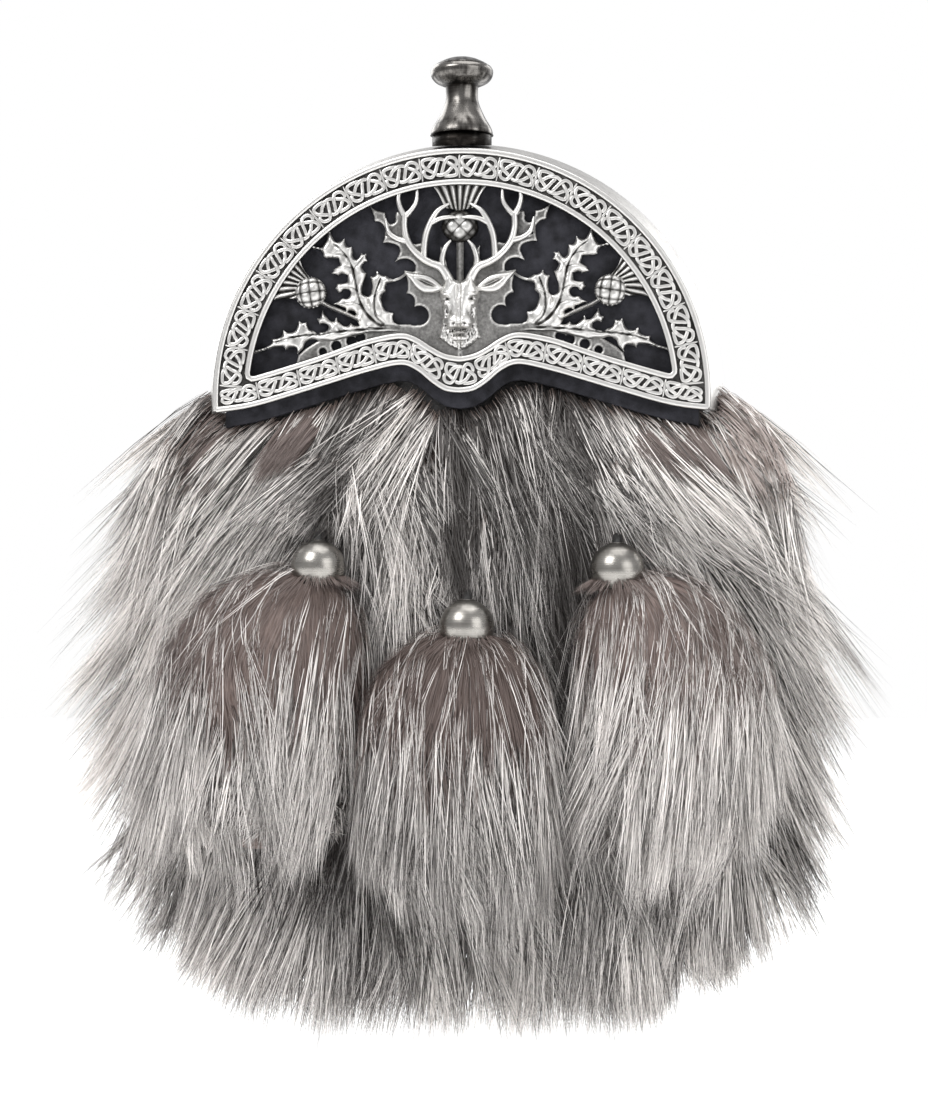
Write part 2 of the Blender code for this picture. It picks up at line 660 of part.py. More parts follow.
def cap_centre(row):
    """Middle of the ball cap of one row of TASSELS."""
    _, cap_x, cap_z, *_, middle_y = row
    return Vector((cap_x, middle_y, cap_z)) * MM - Vector((0.0, CAP_AHEAD, 0.0))


def thong(name, row, radius, end_y):
    """Leather cord from the ball's top, up and back through the pelt to the pouch's front."""
    x, y, cap_z = cap_centre(row)
    top_z = cap_z + CAP_RADIUS
    route = smooth_path([(x, y, top_z + GAP), (x, y, top_z + 0.45 * THONG_RISE),
                         (x, y + 0.25 * THONG_RISE, top_z + 0.85 * THONG_RISE),
                         (x, y + THONG_RISE, top_z + THONG_RISE),
                         (x, end_y, top_z + THONG_RISE)], 3)
    rings = []
    for point, along in zip(route, np.gradient(route, axis=0)):
        along = along / np.linalg.norm(along)
        side = np.array((1.0, 0.0, 0.0))
        up = np.cross(side, along)
        rings.append([point + radius * (side * math.cos(a) + up * math.sin(a))
                      for a in np.linspace(0.0, math.tau, 10, endpoint=False)])
    return loft(name, rings)


def room_for_cantle():
    """The hair parts round the cantle's wall, which is widest at its rear edge."""
    edge = lower_edge("outer_edge") - (0.0, GAP)
    outline = half_moon(edge, ARCH_RADIUS + WALL_FLARE + GAP)
    return prism("room", outline, -HAIR_CLEAR, CANTLE_REAR_Y + GAP)


def room_for_backing():
    """The hair starts below the strip of backing leather that shows under the cantle."""
    edge = lower_edge("outer_edge") - (0.0, BACKING_DROP + GAP)
    right = edge[edge[:, 0] < BACKING_HALF - MM]
    end_z = right[-1][1] - BACKING_END_FALL
    right = np.vstack([right, (BACKING_HALF + GAP, end_z), (BACKING_HALF + GAP, HAIR_CLEAR)])
    outline = np.vstack([(right * (-1.0, 1.0))[:0:-1], right])
    return prism("room", outline, -HAIR_CLEAR, POUCH_FRONT_Y + MM)


def make_fur(material):
    """Pelt round the pouch's front, sides and bottom, hollowed for pouch, tassels and thongs."""
    rings = [fur_ring(*(value * MM for value in row[:4]), row[4]) for row in FUR_FORM]
    fur = loft("fur_pelt", rings)
    hollow = prism("hollow", pouch_outline(GAP), POUCH_FRONT_Y - GAP, 0.01)
    combine(fur, hollow, "DIFFERENCE", "MANIFOLD")
    for cutter in (room_for_cantle(), room_for_backing()):
        combine(fur, cutter, "DIFFERENCE", "MANIFOLD")
    for row in TASSELS:
        for cutter in (tassel_body("dent", row, 0.4 * MM),
                       ellipsoid(cap_centre(row), (CAP_RADIUS + GAP,) * 3, 10, 20),
                       thong("bore", row, THONG_RADIUS + GAP, POUCH_FRONT_Y + MM)):
            combine(fur, cutter, "DIFFERENCE", "MANIFOLD")
    finish(fur, material, 50)
    return fur


def make_cap(name, row, material):
    """Ball cap, flat underneath where the hair comes out."""
    cap_x, cap_y, cap_z = cap_centre(row)
    cut = math.acos(-CAP_SKIRT / CAP_RADIUS)
    profile = [(CAP_RADIUS * math.sin(a), cap_z + CAP_RADIUS * math.cos(a))
               for a in np.linspace(0.0, cut, 9)]
    profile.append((0.0, cap_z - CAP_SKIRT))
    return turned(name, profile, cap_x, cap_y, material)


# ============================ assembly ======================================================

def main():
    clear_scene()
    pewter = make_material("pewter", (0.46, 0.46, 0.45), 0.34, 1.0)
    dark_pewter = make_material("dark_pewter", (0.24, 0.23, 0.22), 0.3, 1.0)
    leather = make_material("black_leather", (0.018, 0.018, 0.022), 0.62, 0.0)
    fur = make_material("silver_fur", (0.42, 0.40, 0.39), 0.85, 0.0)

    make_cantle(pewter)
    make_backing(leather)
    make_knob(dark_pewter)
    make_knob_collar(dark_pewter)
    make_pouch(leather)
    back_part("back_yoke", 0.1, YOKE_BOTTOM_Z, leather)
    back_part("back_panel", YOKE_BOTTOM_Z - MOUTH_TALL, -0.25, leather)
    make_staple("left", -STAPLE_X, pewter)
    make_staple("right", STAPLE_X, pewter)
    make_fur(fur)
    for row in TASSELS:
        name = "tassel_" + row[0]
        tassel_body(name + "_fur", row, 0.0, fur)
        make_cap(name + "_cap", row, dark_pewter)
        finish(thong(name + "_thong", row, THONG_RADIUS, POUCH_FRONT_Y - GAP), leather, 50)


main()
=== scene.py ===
# %% [markdown]
# # A dress sporran pouch, made in Blender
#
# The object is a pouch that hangs in front of a kilt: a cast half-moon cantle with a turned knob,
# a leather pouch behind it, a deep silver fur front and three fur tassels under ball caps. The
# measured frame comes first, and every piece below is built around it in metres, with +Z up and
# the front facing -Y. Each step starts with a few words on what the real piece is and why it is
# made the way it is.

# %% Load the frame
import math

import bmesh
import bpy
import numpy as np
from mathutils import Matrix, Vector, noise
from mathutils.geometry import convex_hull_2d


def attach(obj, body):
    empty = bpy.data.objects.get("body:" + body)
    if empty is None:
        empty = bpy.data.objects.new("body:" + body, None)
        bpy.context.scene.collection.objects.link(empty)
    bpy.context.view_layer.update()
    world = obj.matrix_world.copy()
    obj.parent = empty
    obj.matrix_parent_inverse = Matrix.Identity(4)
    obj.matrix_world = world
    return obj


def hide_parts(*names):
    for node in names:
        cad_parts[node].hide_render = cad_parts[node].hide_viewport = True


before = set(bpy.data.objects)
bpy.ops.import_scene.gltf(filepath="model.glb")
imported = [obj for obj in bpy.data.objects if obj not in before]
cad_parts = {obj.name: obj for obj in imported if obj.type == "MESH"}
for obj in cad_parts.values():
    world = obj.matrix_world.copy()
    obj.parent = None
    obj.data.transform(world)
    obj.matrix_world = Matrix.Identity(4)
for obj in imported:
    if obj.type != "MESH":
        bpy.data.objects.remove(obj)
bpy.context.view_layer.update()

MM = 0.001

# %% [markdown]
# ## Camera, floor and light
#
# The picture was taken level, from about 0.7 m, and 5 degrees to the right of straight ahead: the
# outside of the arch shows more on the right than on the left. The floor is plain and pale and
# lies just below the longest hair. Soft light comes from large lamps, so that the metal shows
# broad highlights and the hair keeps detail in its shadows.

# %% Camera
PHOTO_TALL = 1120                        # pixels
PICTURE_PLANE_Y = -35.0 * MM
MM_PER_PIXEL = 0.3012
VIEW_DISTANCE = 720.0 * MM
VIEW_YAW = math.radians(5.0)
VIEW_TARGET = Vector((1.36 * MM, PICTURE_PLANE_Y, -69.3 * MM))


def linked(name, data):
    """New object that holds the data, linked to the scene."""
    made = bpy.data.objects.new(name, data)
    bpy.context.scene.collection.objects.link(made)
    return made


def add_camera():
    camera = linked("camera", bpy.data.cameras.new("camera"))
    camera.location = VIEW_TARGET + VIEW_DISTANCE * Vector((math.sin(VIEW_YAW), -math.cos(VIEW_YAW), 0.0))
    camera.rotation_euler = (math.radians(90.0), 0.0, VIEW_YAW)
    camera.data.sensor_fit = "VERTICAL"
    camera.data.angle = 2.0 * math.atan(PHOTO_TALL * MM_PER_PIXEL * MM / 2.0 / VIEW_DISTANCE)
    camera.data.clip_start = 0.01
    bpy.context.scene.camera = camera
    return camera


camera = add_camera()
print("camera at", [round(v, 4) for v in camera.location],
      "angle", round(math.degrees(camera.data.angle), 2))

# %% Lamps
LAMPS = (                                # name, place, size and power in watts
    ("key", (-0.55, -0.75, 0.75), 0.60, 8.0),
    ("fill", (0.85, -0.80, 0.25), 0.80, 4.0),
    ("above", (0.10, -0.05, 0.95), 0.80, 5.0),
    ("behind_left", (-0.70, 0.70, 0.45), 0.80, 6.0),
    ("behind_right", (0.75, 0.65, 0.35), 0.80, 5.0),
)
LAMP_AIM = Vector((0.0, -0.03, -0.07))


def add_lamp(name, place, size, power):
    lamp = linked(name, bpy.data.lights.new(name, "AREA"))
    lamp.data.size = size
    lamp.data.energy = power
    lamp.location = place
    lamp.rotation_euler = (LAMP_AIM - Vector(place)).to_track_quat("-Z", "Y").to_euler()


for row in LAMPS:
    add_lamp(*row)
print("lamps:", len(LAMPS), "with", sum(row[3] for row in LAMPS), "W in all")

# %% [markdown]
# ## Node trees as expressions
#
# A material or a Geometry Nodes tree is easier to read as arithmetic than as a list of links. The
# class below wraps one socket: adding or multiplying two of them adds the Math or Vector Math
# node that does it. Every other node comes from `add`, which takes its type, its settings and
# what goes into its sockets.

# %% A socket that does arithmetic
class Wire:
    """One output socket of a node tree."""

    def __init__(self, tree, socket):
        self.tree = tree
        self.socket = socket

    def _math(self, operation, left, right):
        kinds = [side.socket.type for side in (left, right) if isinstance(side, Wire)]
        kind = "ShaderNodeVectorMath" if "VECTOR" in kinds else "ShaderNodeMath"
        return add(self.tree, kind, {"operation": operation}, {0: left, 1: right})

    def __add__(self, other):
        return self._math("ADD", self, other)

    def __radd__(self, other):
        return self._math("ADD", other, self)

    def __sub__(self, other):
        return self._math("SUBTRACT", self, other)

    def __rsub__(self, other):
        return self._math("SUBTRACT", other, self)

    def __mul__(self, other):
        return self._math("MULTIPLY", self, other)

    def __rmul__(self, other):
        return self._math("MULTIPLY", other, self)

    def __pow__(self, other):
        return self._math("POWER", self, other)

    def scaled(self, factor):
        """A vector made longer by a number or a wire."""
        return add(self.tree, "ShaderNodeVectorMath", {"operation": "SCALE"}, {0: self, "Scale": factor})

    def between(self, low, high):
        """0 below low, 1 above high and smooth in between."""
        return add(self.tree, "ShaderNodeMapRange", {"interpolation_type": "SMOOTHSTEP"},
                   {"Value": self, "From Min": low, "From Max": high})


def add(tree, kind, settings=None, sockets=None, output=0):
    """A new node: its settings first, then the values or wires of its sockets."""
    node = tree.nodes.new(kind)
    for name, value in (settings or {}).items():
        setattr(node, name, value)
    for name, value in (sockets or {}).items():
        if isinstance(value, Wire):
            tree.links.new(value.socket, node.inputs[name])
        else:
            node.inputs[name].default_value = value
    return Wire(tree, node.outputs[output])


def mixed(factor, first, second):
    """Colour between two colours or colour wires."""
    tree = factor.tree
    node = tree.nodes.new("ShaderNodeMix")
    node.data_type = "RGBA"
    tree.links.new(factor.socket, node.inputs["Factor"])
    for socket, value in ((node.inputs[6], first), (node.inputs[7], second)):
        if isinstance(value, Wire):
            tree.links.new(value.socket, socket)
        else:
            socket.default_value = (*value, 1.0)
    return Wire(tree, node.outputs[2])


print("arithmetic on sockets is ready")

# %% A new material
def new_material(name, **constants):
    """An empty Principled material; constants stay on the shader's own sockets."""
    material = bpy.data.materials.new(name)
    material.use_nodes = True
    shader = material.node_tree.nodes["Principled BSDF"]
    for socket, value in constants.items():
        shader.inputs[socket.replace("_", " ")].default_value = value
    return material, material.node_tree, shader.inputs


def feed(tree, socket, wire):
    tree.links.new(wire.socket, socket)


def place_on_piece(tree):
    """The piece's own coordinates, in metres."""
    return add(tree, "ShaderNodeTexCoord", output=3)


def noise_at(tree, place, scale, detail=2.0):
    """Cloudy pattern with about `scale` spots to a metre."""
    return add(tree, "ShaderNodeTexNoise", {}, {"Vector": place, "Scale": scale, "Detail": detail})


def part_of(vector, k):
    """X, Y or Z of a vector wire, for k = 0, 1 or 2."""
    return add(vector.tree, "ShaderNodeSeparateXYZ", {}, {0: vector}, output=k)


def bumped(tree, shader, height, strength, distance):
    normal = add(tree, "ShaderNodeBump", {}, {"Strength": strength, "Distance": distance, "Height": height})
    feed(tree, shader["Normal"], normal)


print("material helpers are ready")

# %% Meshes
def mesh_of(name, bm, *materials):
    """Plain mesh of a bmesh, which is then freed."""
    mesh = bpy.data.meshes.new(name)
    bm.to_mesh(mesh)
    bm.free()
    for material in materials:
        mesh.materials.append(material)
    return mesh


def store(mesh, name, values, kind="FLOAT"):
    """Keep a number for each point under a name, or three of them if kind is FLOAT_VECTOR."""
    field = "vector" if kind == "FLOAT_VECTOR" else "value"
    mesh.attributes.new(name, kind, "POINT").data.foreach_set(field, np.ravel(values))


def store_relief(mesh, value):
    store(mesh, "relief", np.full(len(mesh.vertices), value))


def triangles_of(piece):
    return sum(len(polygon.vertices) - 2 for polygon in piece.data.polygons)


print("mesh helpers are ready")

# %% Floor and world
FLOOR_Z = -222.0 * MM
FLOOR_RADIUS = 1.6


def make_floor():
    bm = bmesh.new()
    bmesh.ops.create_circle(bm, cap_ends=True, segments=96, radius=FLOOR_RADIUS)
    bmesh.ops.translate(bm, verts=bm.verts, vec=(0.0, 0.0, FLOOR_Z))
    material, tree, shader = new_material("pale_floor", Roughness=0.85, Emission_Strength=0.42,
                                          Emission_Color=(1.0, 1.0, 1.0, 1.0))
    speck = noise_at(tree, place_on_piece(tree), 30.0)
    feed(tree, shader["Base Color"], mixed(speck, (0.90, 0.90, 0.905), (0.93, 0.93, 0.93)))
    linked("floor", mesh_of("floor", bm, material))


def set_world():
    """White behind the object; the light that the room sends back is a little darker below."""
    world = bpy.data.worlds.new("studio")
    bpy.context.scene.world = world
    world.use_nodes = True
    tree = world.node_tree
    direction = add(tree, "ShaderNodeTexCoord", output=0)
    height = part_of(direction, 2)
    room = mixed(height.between(-0.6, 0.8), (0.30, 0.30, 0.305), (0.62, 0.62, 0.63))
    seen = add(tree, "ShaderNodeLightPath", output=0)
    background = tree.nodes["Background"]
    feed(tree, background.inputs["Color"], mixed(seen, room, (1.0, 1.0, 1.0)))


make_floor()
set_world()
bpy.context.scene.view_settings.view_transform = "Standard"
print("floor at", FLOOR_Z, "m")

# %% [markdown]
# ## Fur: forms
#
# Long hair is too fine to cut as a solid, but its outer form is simple. The pelt is a loft of
# rounded sections round the pouch, and each tassel is a hanging drop. Both are written here as a
# level: 1 on the outer form, less inside it. A hair that slides along a level while that level
# rises from root to tip lies over its neighbours like a roof tile, as real fur does. The cantle's
# lower edge is needed here too, because the front hair begins below it.

# %% Sizes of the fur, in millimetres
PELT_BACK = -5.3
PELT_FORM = np.array((                   # height, reach left, right and to the front, squareness
    (-199, 50, 54, 22, 2.1),
    (-195, 70, 75, 31, 2.2),
    (-188, 85, 90, 37, 2.3),
    (-176, 97, 102, 42, 2.5),
    (-160, 105, 109, 45, 2.6),
    (-142, 111, 114, 46, 2.7),
    (-120, 114.5, 117.5, 46, 2.8),
    (-95, 113, 116, 45.5, 2.8),
    (-72, 109, 112, 44.5, 2.8),
    (-52, 104, 108, 41.5, 2.9),
    (-37, 99, 104, 36.5, 3.2),
    (-28, 93.5, 98.5, 31, 3.6),
    (-22.5, 87.5, 91, 28, 4),
    (-18, 81, 83, 26, 4.6),
    (-13, 68, 68, 25.2, 5),
))
POUCH_SIDE = np.array((                  # height, half-width
    (-167, 0), (-163, 38), (-152, 63), (-132, 79), (-105, 84),
    (-75, 82), (-45, 76.5), (-24, 71.9), (-13, 71.6),
))
POUCH_DEPTH = 24.0
TASSELS = {                              # ball's X and Z, lean, bottom, half-width, half-depth, Y
    "left": (-40.1, -71.3, -18, -166, 33, 18.5, -52.5),
    "centre": (4.6, -88.6, -3.2, -175, 29.6, 18.5, -60.5),
    "right": (47.9, -72.2, 17, -166, 29.6, 18.5, -52.5),
}
CAP_RADIUS = 8.0
CAP_AHEAD = 2.0                          # from the middle of the tassel's widest part
EDGES = np.array((                       # from the centre, cantle's lower edge, window's lower edge
    (0, -19.1, -8), (4.4, -18.4, -7.1), (8.3, -16, -5.1), (13.1, -12.1, -2.1), (18.2, -10.5, -0.8),
    (28.2, -12.7, -2.6), (38.2, -15.7, -6), (48, -18.7, -9.2), (63.1, -23, -13.6), (75.1, -24.7, -16.4),
))
BACKING_DROP = 4.4                       # of the leather strip below the cantle


def form_at(z):
    """The pelt's reach left, right and to the front, and its squareness, at each height."""
    return [np.interp(z, PELT_FORM[:, 0], PELT_FORM[:, k]) for k in range(1, 5)]


def strip_edge(x):
    """Height of the lower edge of the leather strip under the cantle."""
    return np.interp(np.abs(x), EDGES[:, 0], EDGES[:, 1]) - BACKING_DROP


def pelt_level(points):
    """1 on the pelt's outer form, 0 in the middle of its back."""
    x, y, z = points.T / MM
    left, right, front, square = form_at(z)
    across = np.abs(x) / np.where(x < 0.0, left, right)
    ahead = np.maximum(PELT_BACK - y, 0.0) / front
    return (across ** square + ahead ** square + 1e-12) ** (1.0 / square)


def tassel_form(name):
    """Level function of one tassel's hanging drop, the middle of its widest part, and its half-sizes."""
    cap_x, cap_z, lean, bottom, half_wide, half_deep, middle_y = TASSELS[name]
    top = cap_z + 1.0
    widest = top + (bottom - top) * 0.44

    def level(points):
        x, y, z = points.T / MM
        down = unit((top - z) / (top - widest))
        centre_x = cap_x + lean * (1.0 - 0.55 * (1.0 - down) ** 1.8)
        ring = np.hypot((x - centre_x) / half_wide, (y - middle_y) / half_deep)
        upper = np.abs(z - widest) / np.where(z > widest, top - widest, widest - bottom)
        return (ring ** 2.3 + upper ** 2.3 + 1e-12) ** (1.0 / 2.3)

    size = np.array((half_wide, half_deep, (cap_z - bottom) / 2.0))
    return level, np.array((cap_x + lean, middle_y, widest)) * MM, size * MM


def unit(values):
    """Values held between 0 and 1."""
    return np.clip(values, 0.0, 1.0)


def outward(level, points):
    """Unit direction in which a level rises, and how fast."""
    step = 0.4 * MM
    slope = np.stack([(level(points + move) - level(points - move)) / (2.0 * step)
                      for move in np.eye(3) * step], axis=1)
    size = np.linalg.norm(slope, axis=1, keepdims=True)
    return slope / np.maximum(size, 1e-6), size


print("pelt:", len(PELT_FORM), "levels, tassels:", list(TASSELS))

# %% [markdown]
# ## Fur: which way it lies
#
# Fur is combed by hand, so no formula knows which way it lies. The table holds comb strokes read
# off the object: a place, how far the hair leans sideways for each step down, and how light the
# hair is there. That lightness is partly the hair's own tone and partly painted shade, lowest
# under the tassels where they cast their shadow. Between the strokes the lean is a weighted mean
# of the nearest ones. A slow, smooth waviness on top makes the hair part here and close up there,
# which gives locks. Where two big locks fall apart, shade falls between them; it is painted as a
# darker tone along those lines, and one more line paints the shadow under the left and centre
# tassels.

# %% Comb strokes
# The lightness column is partly the hair's own tone and partly painted shade: its lowest values, under the
# tassels, are their shadow.
COMB = np.array((                        # x, z, sideways lean and lightness
    (-80, -19, -1.9, 0.92), (-90, -25, -1.3, 0.95), (-78, -42, -0.85, 0.86), (-103, -38, -0.35, 0.9),
    (-112, -58, -0.1, 0.95), (-117, -85, 0, 1), (-93, -69, -0.4, 0.94), (-105, -111, -0.18, 1),
    (-108, -138, -0.16, 0.95), (-63, -45, -0.8, 0.82), (-50, -57, -0.6, 0.7), (-40, -36, -0.75, 0.35),
    (-30, -45, -0.18, 0.82), (-18, -36, 0, 0.9), (-6, -57, 0.1, 0.88), (-18, -81, -0.1, 0.9),
    (-26, -65, -0.14, 0.86), (-2, -30, 0.15, 0.45), (6, -60, 0.06, 0.1), (12, -36, 0.1, 0.42),
    (24, -36, 0.45, 0.54), (30, -57, 0.4, 0.38), (18, -81, 0.15, 0.24), (39, -78, 0.35, 0.34),
    (42, -30, 0.65, 0.45), (57, -42, 0.7, 0.7), (72, -30, 0.85, 0.45), (54, -57, 0.6, 0.7),
    (78, -57, 0.6, 0.78), (96, -81, 0.26, 0.8), (106, -38, 0.3, 0.95), (114, -58, 0.08, 0.9),
    (119, -85, 0, 0.8), (111, -111, 0.18, 0.72), (114, -141, 0.04, 0.72), (80, -19, 1.7, 1.02),
    (90, -25, 1.1, 1.05), (-93, -165, -0.02, 0.74), (-52, -160, -0.2, 0.12), (-24, -167, -0.06, 0.14),
    (-46, -178, -0.2, 0.62), (22, -165, 0.02, 0.42), (40, -182, 0.04, 0.78), (66, -160, 0.02, 0.18),
    (80, -161, -0.02, 0.28), (-84, -158, -0.12, 0.5), (-78, -187, -0.3, 0.8), (-99, -180, -0.25, 0.66),
    (-39, -195, -0.2, 0.64), (-3, -201, -0.02, 0.68), (42, -195, 0.06, 0.8), (72, -188, 0.05, 0.86),
    (96, -180, -0.06, 0.72), (111, -171, -0.1, 0.72),
))


def combed(points):
    """Lean and lightness at each point, from the nearest comb strokes; the lightness holds painted shade."""
    gap = np.hypot(points[:, None, 0] / MM - COMB[None, :, 0], points[:, None, 2] / MM - COMB[None, :, 1])
    weight = 1.0 / (gap + 3.0) ** 3.2
    weight /= weight.sum(axis=1, keepdims=True)
    return weight @ COMB[:, 2], weight @ COMB[:, 3]


print("comb strokes:", len(COMB))

# %% Partings and waves
PARTINGS_AND_SHADOW_LINE = (                             # partings between big locks, and a line under the tassels, where shade is painted: x and z along each, in mm
    ((0.7, -21), (2.5, -33), (2, -51), (0.8, -69), (1.6, -78)),
    ((-37.4, -21), (-40.4, -36), (-41.3, -52), (-38.3, -62), (-33.5, -77.5), (-29, -91), (-29.5, -110)),
    ((39.2, -30), (39.8, -42), (38, -52), (35.5, -71), (31, -93), (33, -112)),
    ((-66, -161), (-52, -158), (-38, -154), (-30, -163), (-20, -171), (-8, -174)),
)
PARTING_WIDTH = 6.5


def parted(points):
    """1 in the middle of a parting, or of the line under the tassels where shadow is painted, 0 away from
    one.
    """
    flat = points[:, (0, 2)] / MM
    nearest = np.full(len(points), np.inf)
    for line in PARTINGS_AND_SHADOW_LINE:
        for a, b in zip(np.array(line), np.array(line[1:])):
            t = unit((flat - a) @ (b - a) / np.sum((b - a) ** 2))
            nearest = np.minimum(nearest, np.linalg.norm(flat - a - t[:, None] * (b - a), axis=1))
    return np.exp(-(nearest / (0.5 * PARTING_WIDTH)) ** 2)


def waviness(points, size, seed):
    """Smooth random field from -1 to 1 that changes over about `size` metres."""
    rng = np.random.default_rng(seed)
    total = np.zeros(len(points))
    for _ in range(7):
        along = rng.normal(size=3)
        along *= rng.uniform(0.6, 1.5) * math.tau / size / np.linalg.norm(along) / 2.0
        total += np.sin(points @ along + rng.uniform(0.0, math.tau))
    return total / 3.0


print("partings:", len(PARTINGS_AND_SHADOW_LINE))

# %% Which way the hair goes from a point
def pelt_flow(points):
    """Direction of the pelt's hair before it is laid on the form."""
    lean, _ = combed(points)
    lean = lean + 0.30 * waviness(points, 24.0 * MM, 5) + 0.16 * waviness(points, 9.0 * MM, 6)
    ahead = -0.12 + 0.25 * waviness(points, 16.0 * MM, 7)
    return np.column_stack([lean, ahead, -np.ones(len(points))])


def tassel_flow(name):
    """Hair spreads from under the ball, then hangs."""
    cap_x, cap_z, *_, middle_y = TASSELS[name]
    cap = np.array((cap_x, middle_y - CAP_AHEAD, cap_z + 2.0)) * MM
    seed = 20 + list(TASSELS).index(name)

    def flow(points):
        away = points - cap
        distance = np.linalg.norm(away, axis=1, keepdims=True)
        near = np.exp(-(distance / (26.0 * MM)) ** 2)
        way = away / distance * near + np.array((0.0, 0.0, -1.0)) * (1.0 - near)
        way[:, :1] += LOWER_LEAN[name] * (1.0 - near)
        way[:, 0] += 0.20 * waviness(points, 15.0 * MM, seed) + 0.12 * waviness(points, 6.0 * MM, seed + 5)
        way[:, 1] += 0.12 * waviness(points, 12.0 * MM, seed + 10)
        return way

    return flow


print("the pelt and", len(TASSELS), "tassels have a flow")

# %% [markdown]
# ## Fur: guides and strands
#
# Hair is grown in two steps. A few thousand guides are walked over the form, one short step at a
# time. Each guide then gets a small lock of strands that keep beside it and close up towards its
# tip. This is far quicker than walking every strand, and it makes the pointed locks of real fur.

# %% Walk the guides
FREE_BELOW = -110.0 * MM                 # from here down to HANGING hair comes off the form
HANGING = -150.0 * MM


def grow(level, roots, flow, lengths, rise, turn=0.0, steps=6):
    """Paths from the roots along the flow, sliding on the form while they rise to its outside.

    Hair never goes into the form, but where the form curves in underneath it hangs free.
    """
    path = [roots]
    point = roots
    for k in range(steps):
        normal, _ = outward(level, point)
        way = flow(point) + turn
        way = way - normal * np.minimum(np.sum(way * normal, axis=1, keepdims=True), 0.0)
        way /= np.linalg.norm(way, axis=1, keepdims=True)
        point = point + way * (lengths / steps)[:, None]
        normal, slope = outward(level, point)
        off = (rise((k + 1) / steps)[:, None] - level(point)[:, None]) / np.maximum(slope, 1e-3)
        held = np.interp(point[:, 2:3], (HANGING, FREE_BELOW), (0.15, 1.2)) * MM
        point = point + normal * np.clip(off, -held, 5.0 * MM)
        path.append(point)
    return np.stack(path, axis=1)


print("guides can be walked")

# %% Locks of strands
def lock_groups(roots, count, rng):
    """Nearest of `count` chosen guides for every guide, so that neighbours share a lock."""
    chosen = rng.choice(len(roots), count, replace=False)
    gap = np.linalg.norm(roots[:, None] - roots[None, chosen], axis=2)
    return chosen, np.argmin(gap, axis=1)


def gather(paths, chosen, group, share):
    """Draw a lock's guides together towards its middle guide, most at the tips."""
    t = np.linspace(0.0, 1.0, paths.shape[1])[None, :, None]
    return paths + (paths[chosen][group] - paths) * share * t ** 1.5


def locks(paths, level, strands, spread, close, rng, stray=2.0 * MM, shortest=0.72):
    """Strand paths beside each guide path, closing up by the share `close` towards the tip."""
    count, rows, _ = paths.shape
    along = np.gradient(paths, axis=1)
    along /= np.linalg.norm(along, axis=2, keepdims=True)
    normal = np.stack([outward(level, paths[:, k])[0] for k in range(rows)], axis=1)
    side = np.cross(along, normal)
    side /= np.maximum(np.linalg.norm(side, axis=2, keepdims=True), 1e-6)
    t = np.linspace(0.0, 1.0, rows)[None, None, :, None]
    beside, proud = rng.normal(size=(2, count, strands, 1, 1)) * spread
    narrowing = 1.0 - close * t ** 0.8
    wander = rng.normal(size=(count, strands, 1, 1)) * stray * t ** 2
    lift = rng.normal(size=(count, strands, 1, 1)) * 0.5 * stray * t ** 2
    reach = rng.uniform(shortest, 1.12, size=(count, strands, 1, 1))
    made = (paths[:, None] + side[:, None] * (beside * narrowing + wander)
            + normal[:, None] * (0.5 * proud * narrowing + lift))
    made = made[:, :, :1] + (made - made[:, :, :1]) * reach
    return made.reshape(count * strands, rows, 3), np.repeat(normal[:, rows // 2], strands, axis=0)


ROOM_LOW = np.array((-129.0, -90.0, -216.0)) * MM
ROOM_HIGH = np.array((132.0, 5.0, 60.0)) * MM


def kept_inside(strands):
    """Strands shortened where they would leave the room that the fur has."""
    root = strands[:, :1]
    reach = strands - root
    low = np.tile(ROOM_LOW, (len(strands), 1, 1))
    low[:, 0, 2] += 2.0 * MM * np.clip(1.0 + waviness(root[:, 0], 1.5 * MM, 70), 0.0, 2.5)
    room = np.where(reach < 0.0, root - low, ROOM_HIGH - root)
    share = unit(room / np.maximum(np.abs(reach), 1e-9)).min(axis=(1, 2))
    return root + reach * share[:, None, None]


print("locks can be made within", (1000.0 * (ROOM_HIGH - ROOM_LOW)).round(1), "mm")

# %% [markdown]
# ## Fur: from paths to blades of hair
#
# A strand is a thin blade of a few faces. Geometry Nodes puts one copy of a straight blade on
# every root, bends each copy along a curve through its path's points and gives it its width. The
# tree reads all of that from attributes on the roots, so one tree serves the pelt and the
# tassels. The blade's map holds the strand's lightness across and the way from root to tip up,
# and the hair's material takes its colour from that map alone.

# %% A blade of hair
def make_blade(segments):
    """Straight blade of hair: two rows of points and one at the tip, all told apart by attributes."""
    along = [k / segments for k in range(segments) for _ in range(2)] + [1.0]
    across = [-0.5, 0.5] * segments + [0.0]
    faces = [(2 * k, 2 * k + 1, 2 * k + 3, 2 * k + 2) for k in range(segments - 1)]
    faces.append((2 * segments - 2, 2 * segments - 1, 2 * segments))
    mesh = bpy.data.meshes.new("blade")
    mesh.from_pydata([(a * MM, t * MM, 0.0) for a, t in zip(across, along)], [], faces)
    store(mesh, "along", along)
    store(mesh, "across", across)
    return bpy.data.objects.new("blade", mesh)


hair_blade = make_blade(4)
short_blade = make_blade(3)
print("blades of", len(hair_blade.data.polygons), "and", len(short_blade.data.polygons), "faces")

# %% Geometry Nodes tree for hair
def new_tree(name, **inputs):
    """Geometry Nodes group with named inputs, and a wire from each of them."""
    tree = bpy.data.node_groups.new(name, "GeometryNodeTree")
    for label, kind in inputs.items():
        tree.interface.new_socket(label, in_out="INPUT", socket_type="NodeSocket" + kind)
    tree.interface.new_socket("Made", in_out="OUTPUT", socket_type="NodeSocketGeometry")
    sockets = tree.nodes.new("NodeGroupInput").outputs
    return [tree] + [Wire(tree, sockets[label]) for label in inputs]


def end_tree(tree, geometry, material):
    """Last nodes of every group: copies become real faces and get their material."""
    real = add(tree, "GeometryNodeRealizeInstances", {}, {"Geometry": geometry})
    done = add(tree, "GeometryNodeSetMaterial", {}, {"Geometry": real, "Material": material})
    tree.links.new(done.socket, tree.nodes.new("NodeGroupOutput").inputs[0])
    return tree


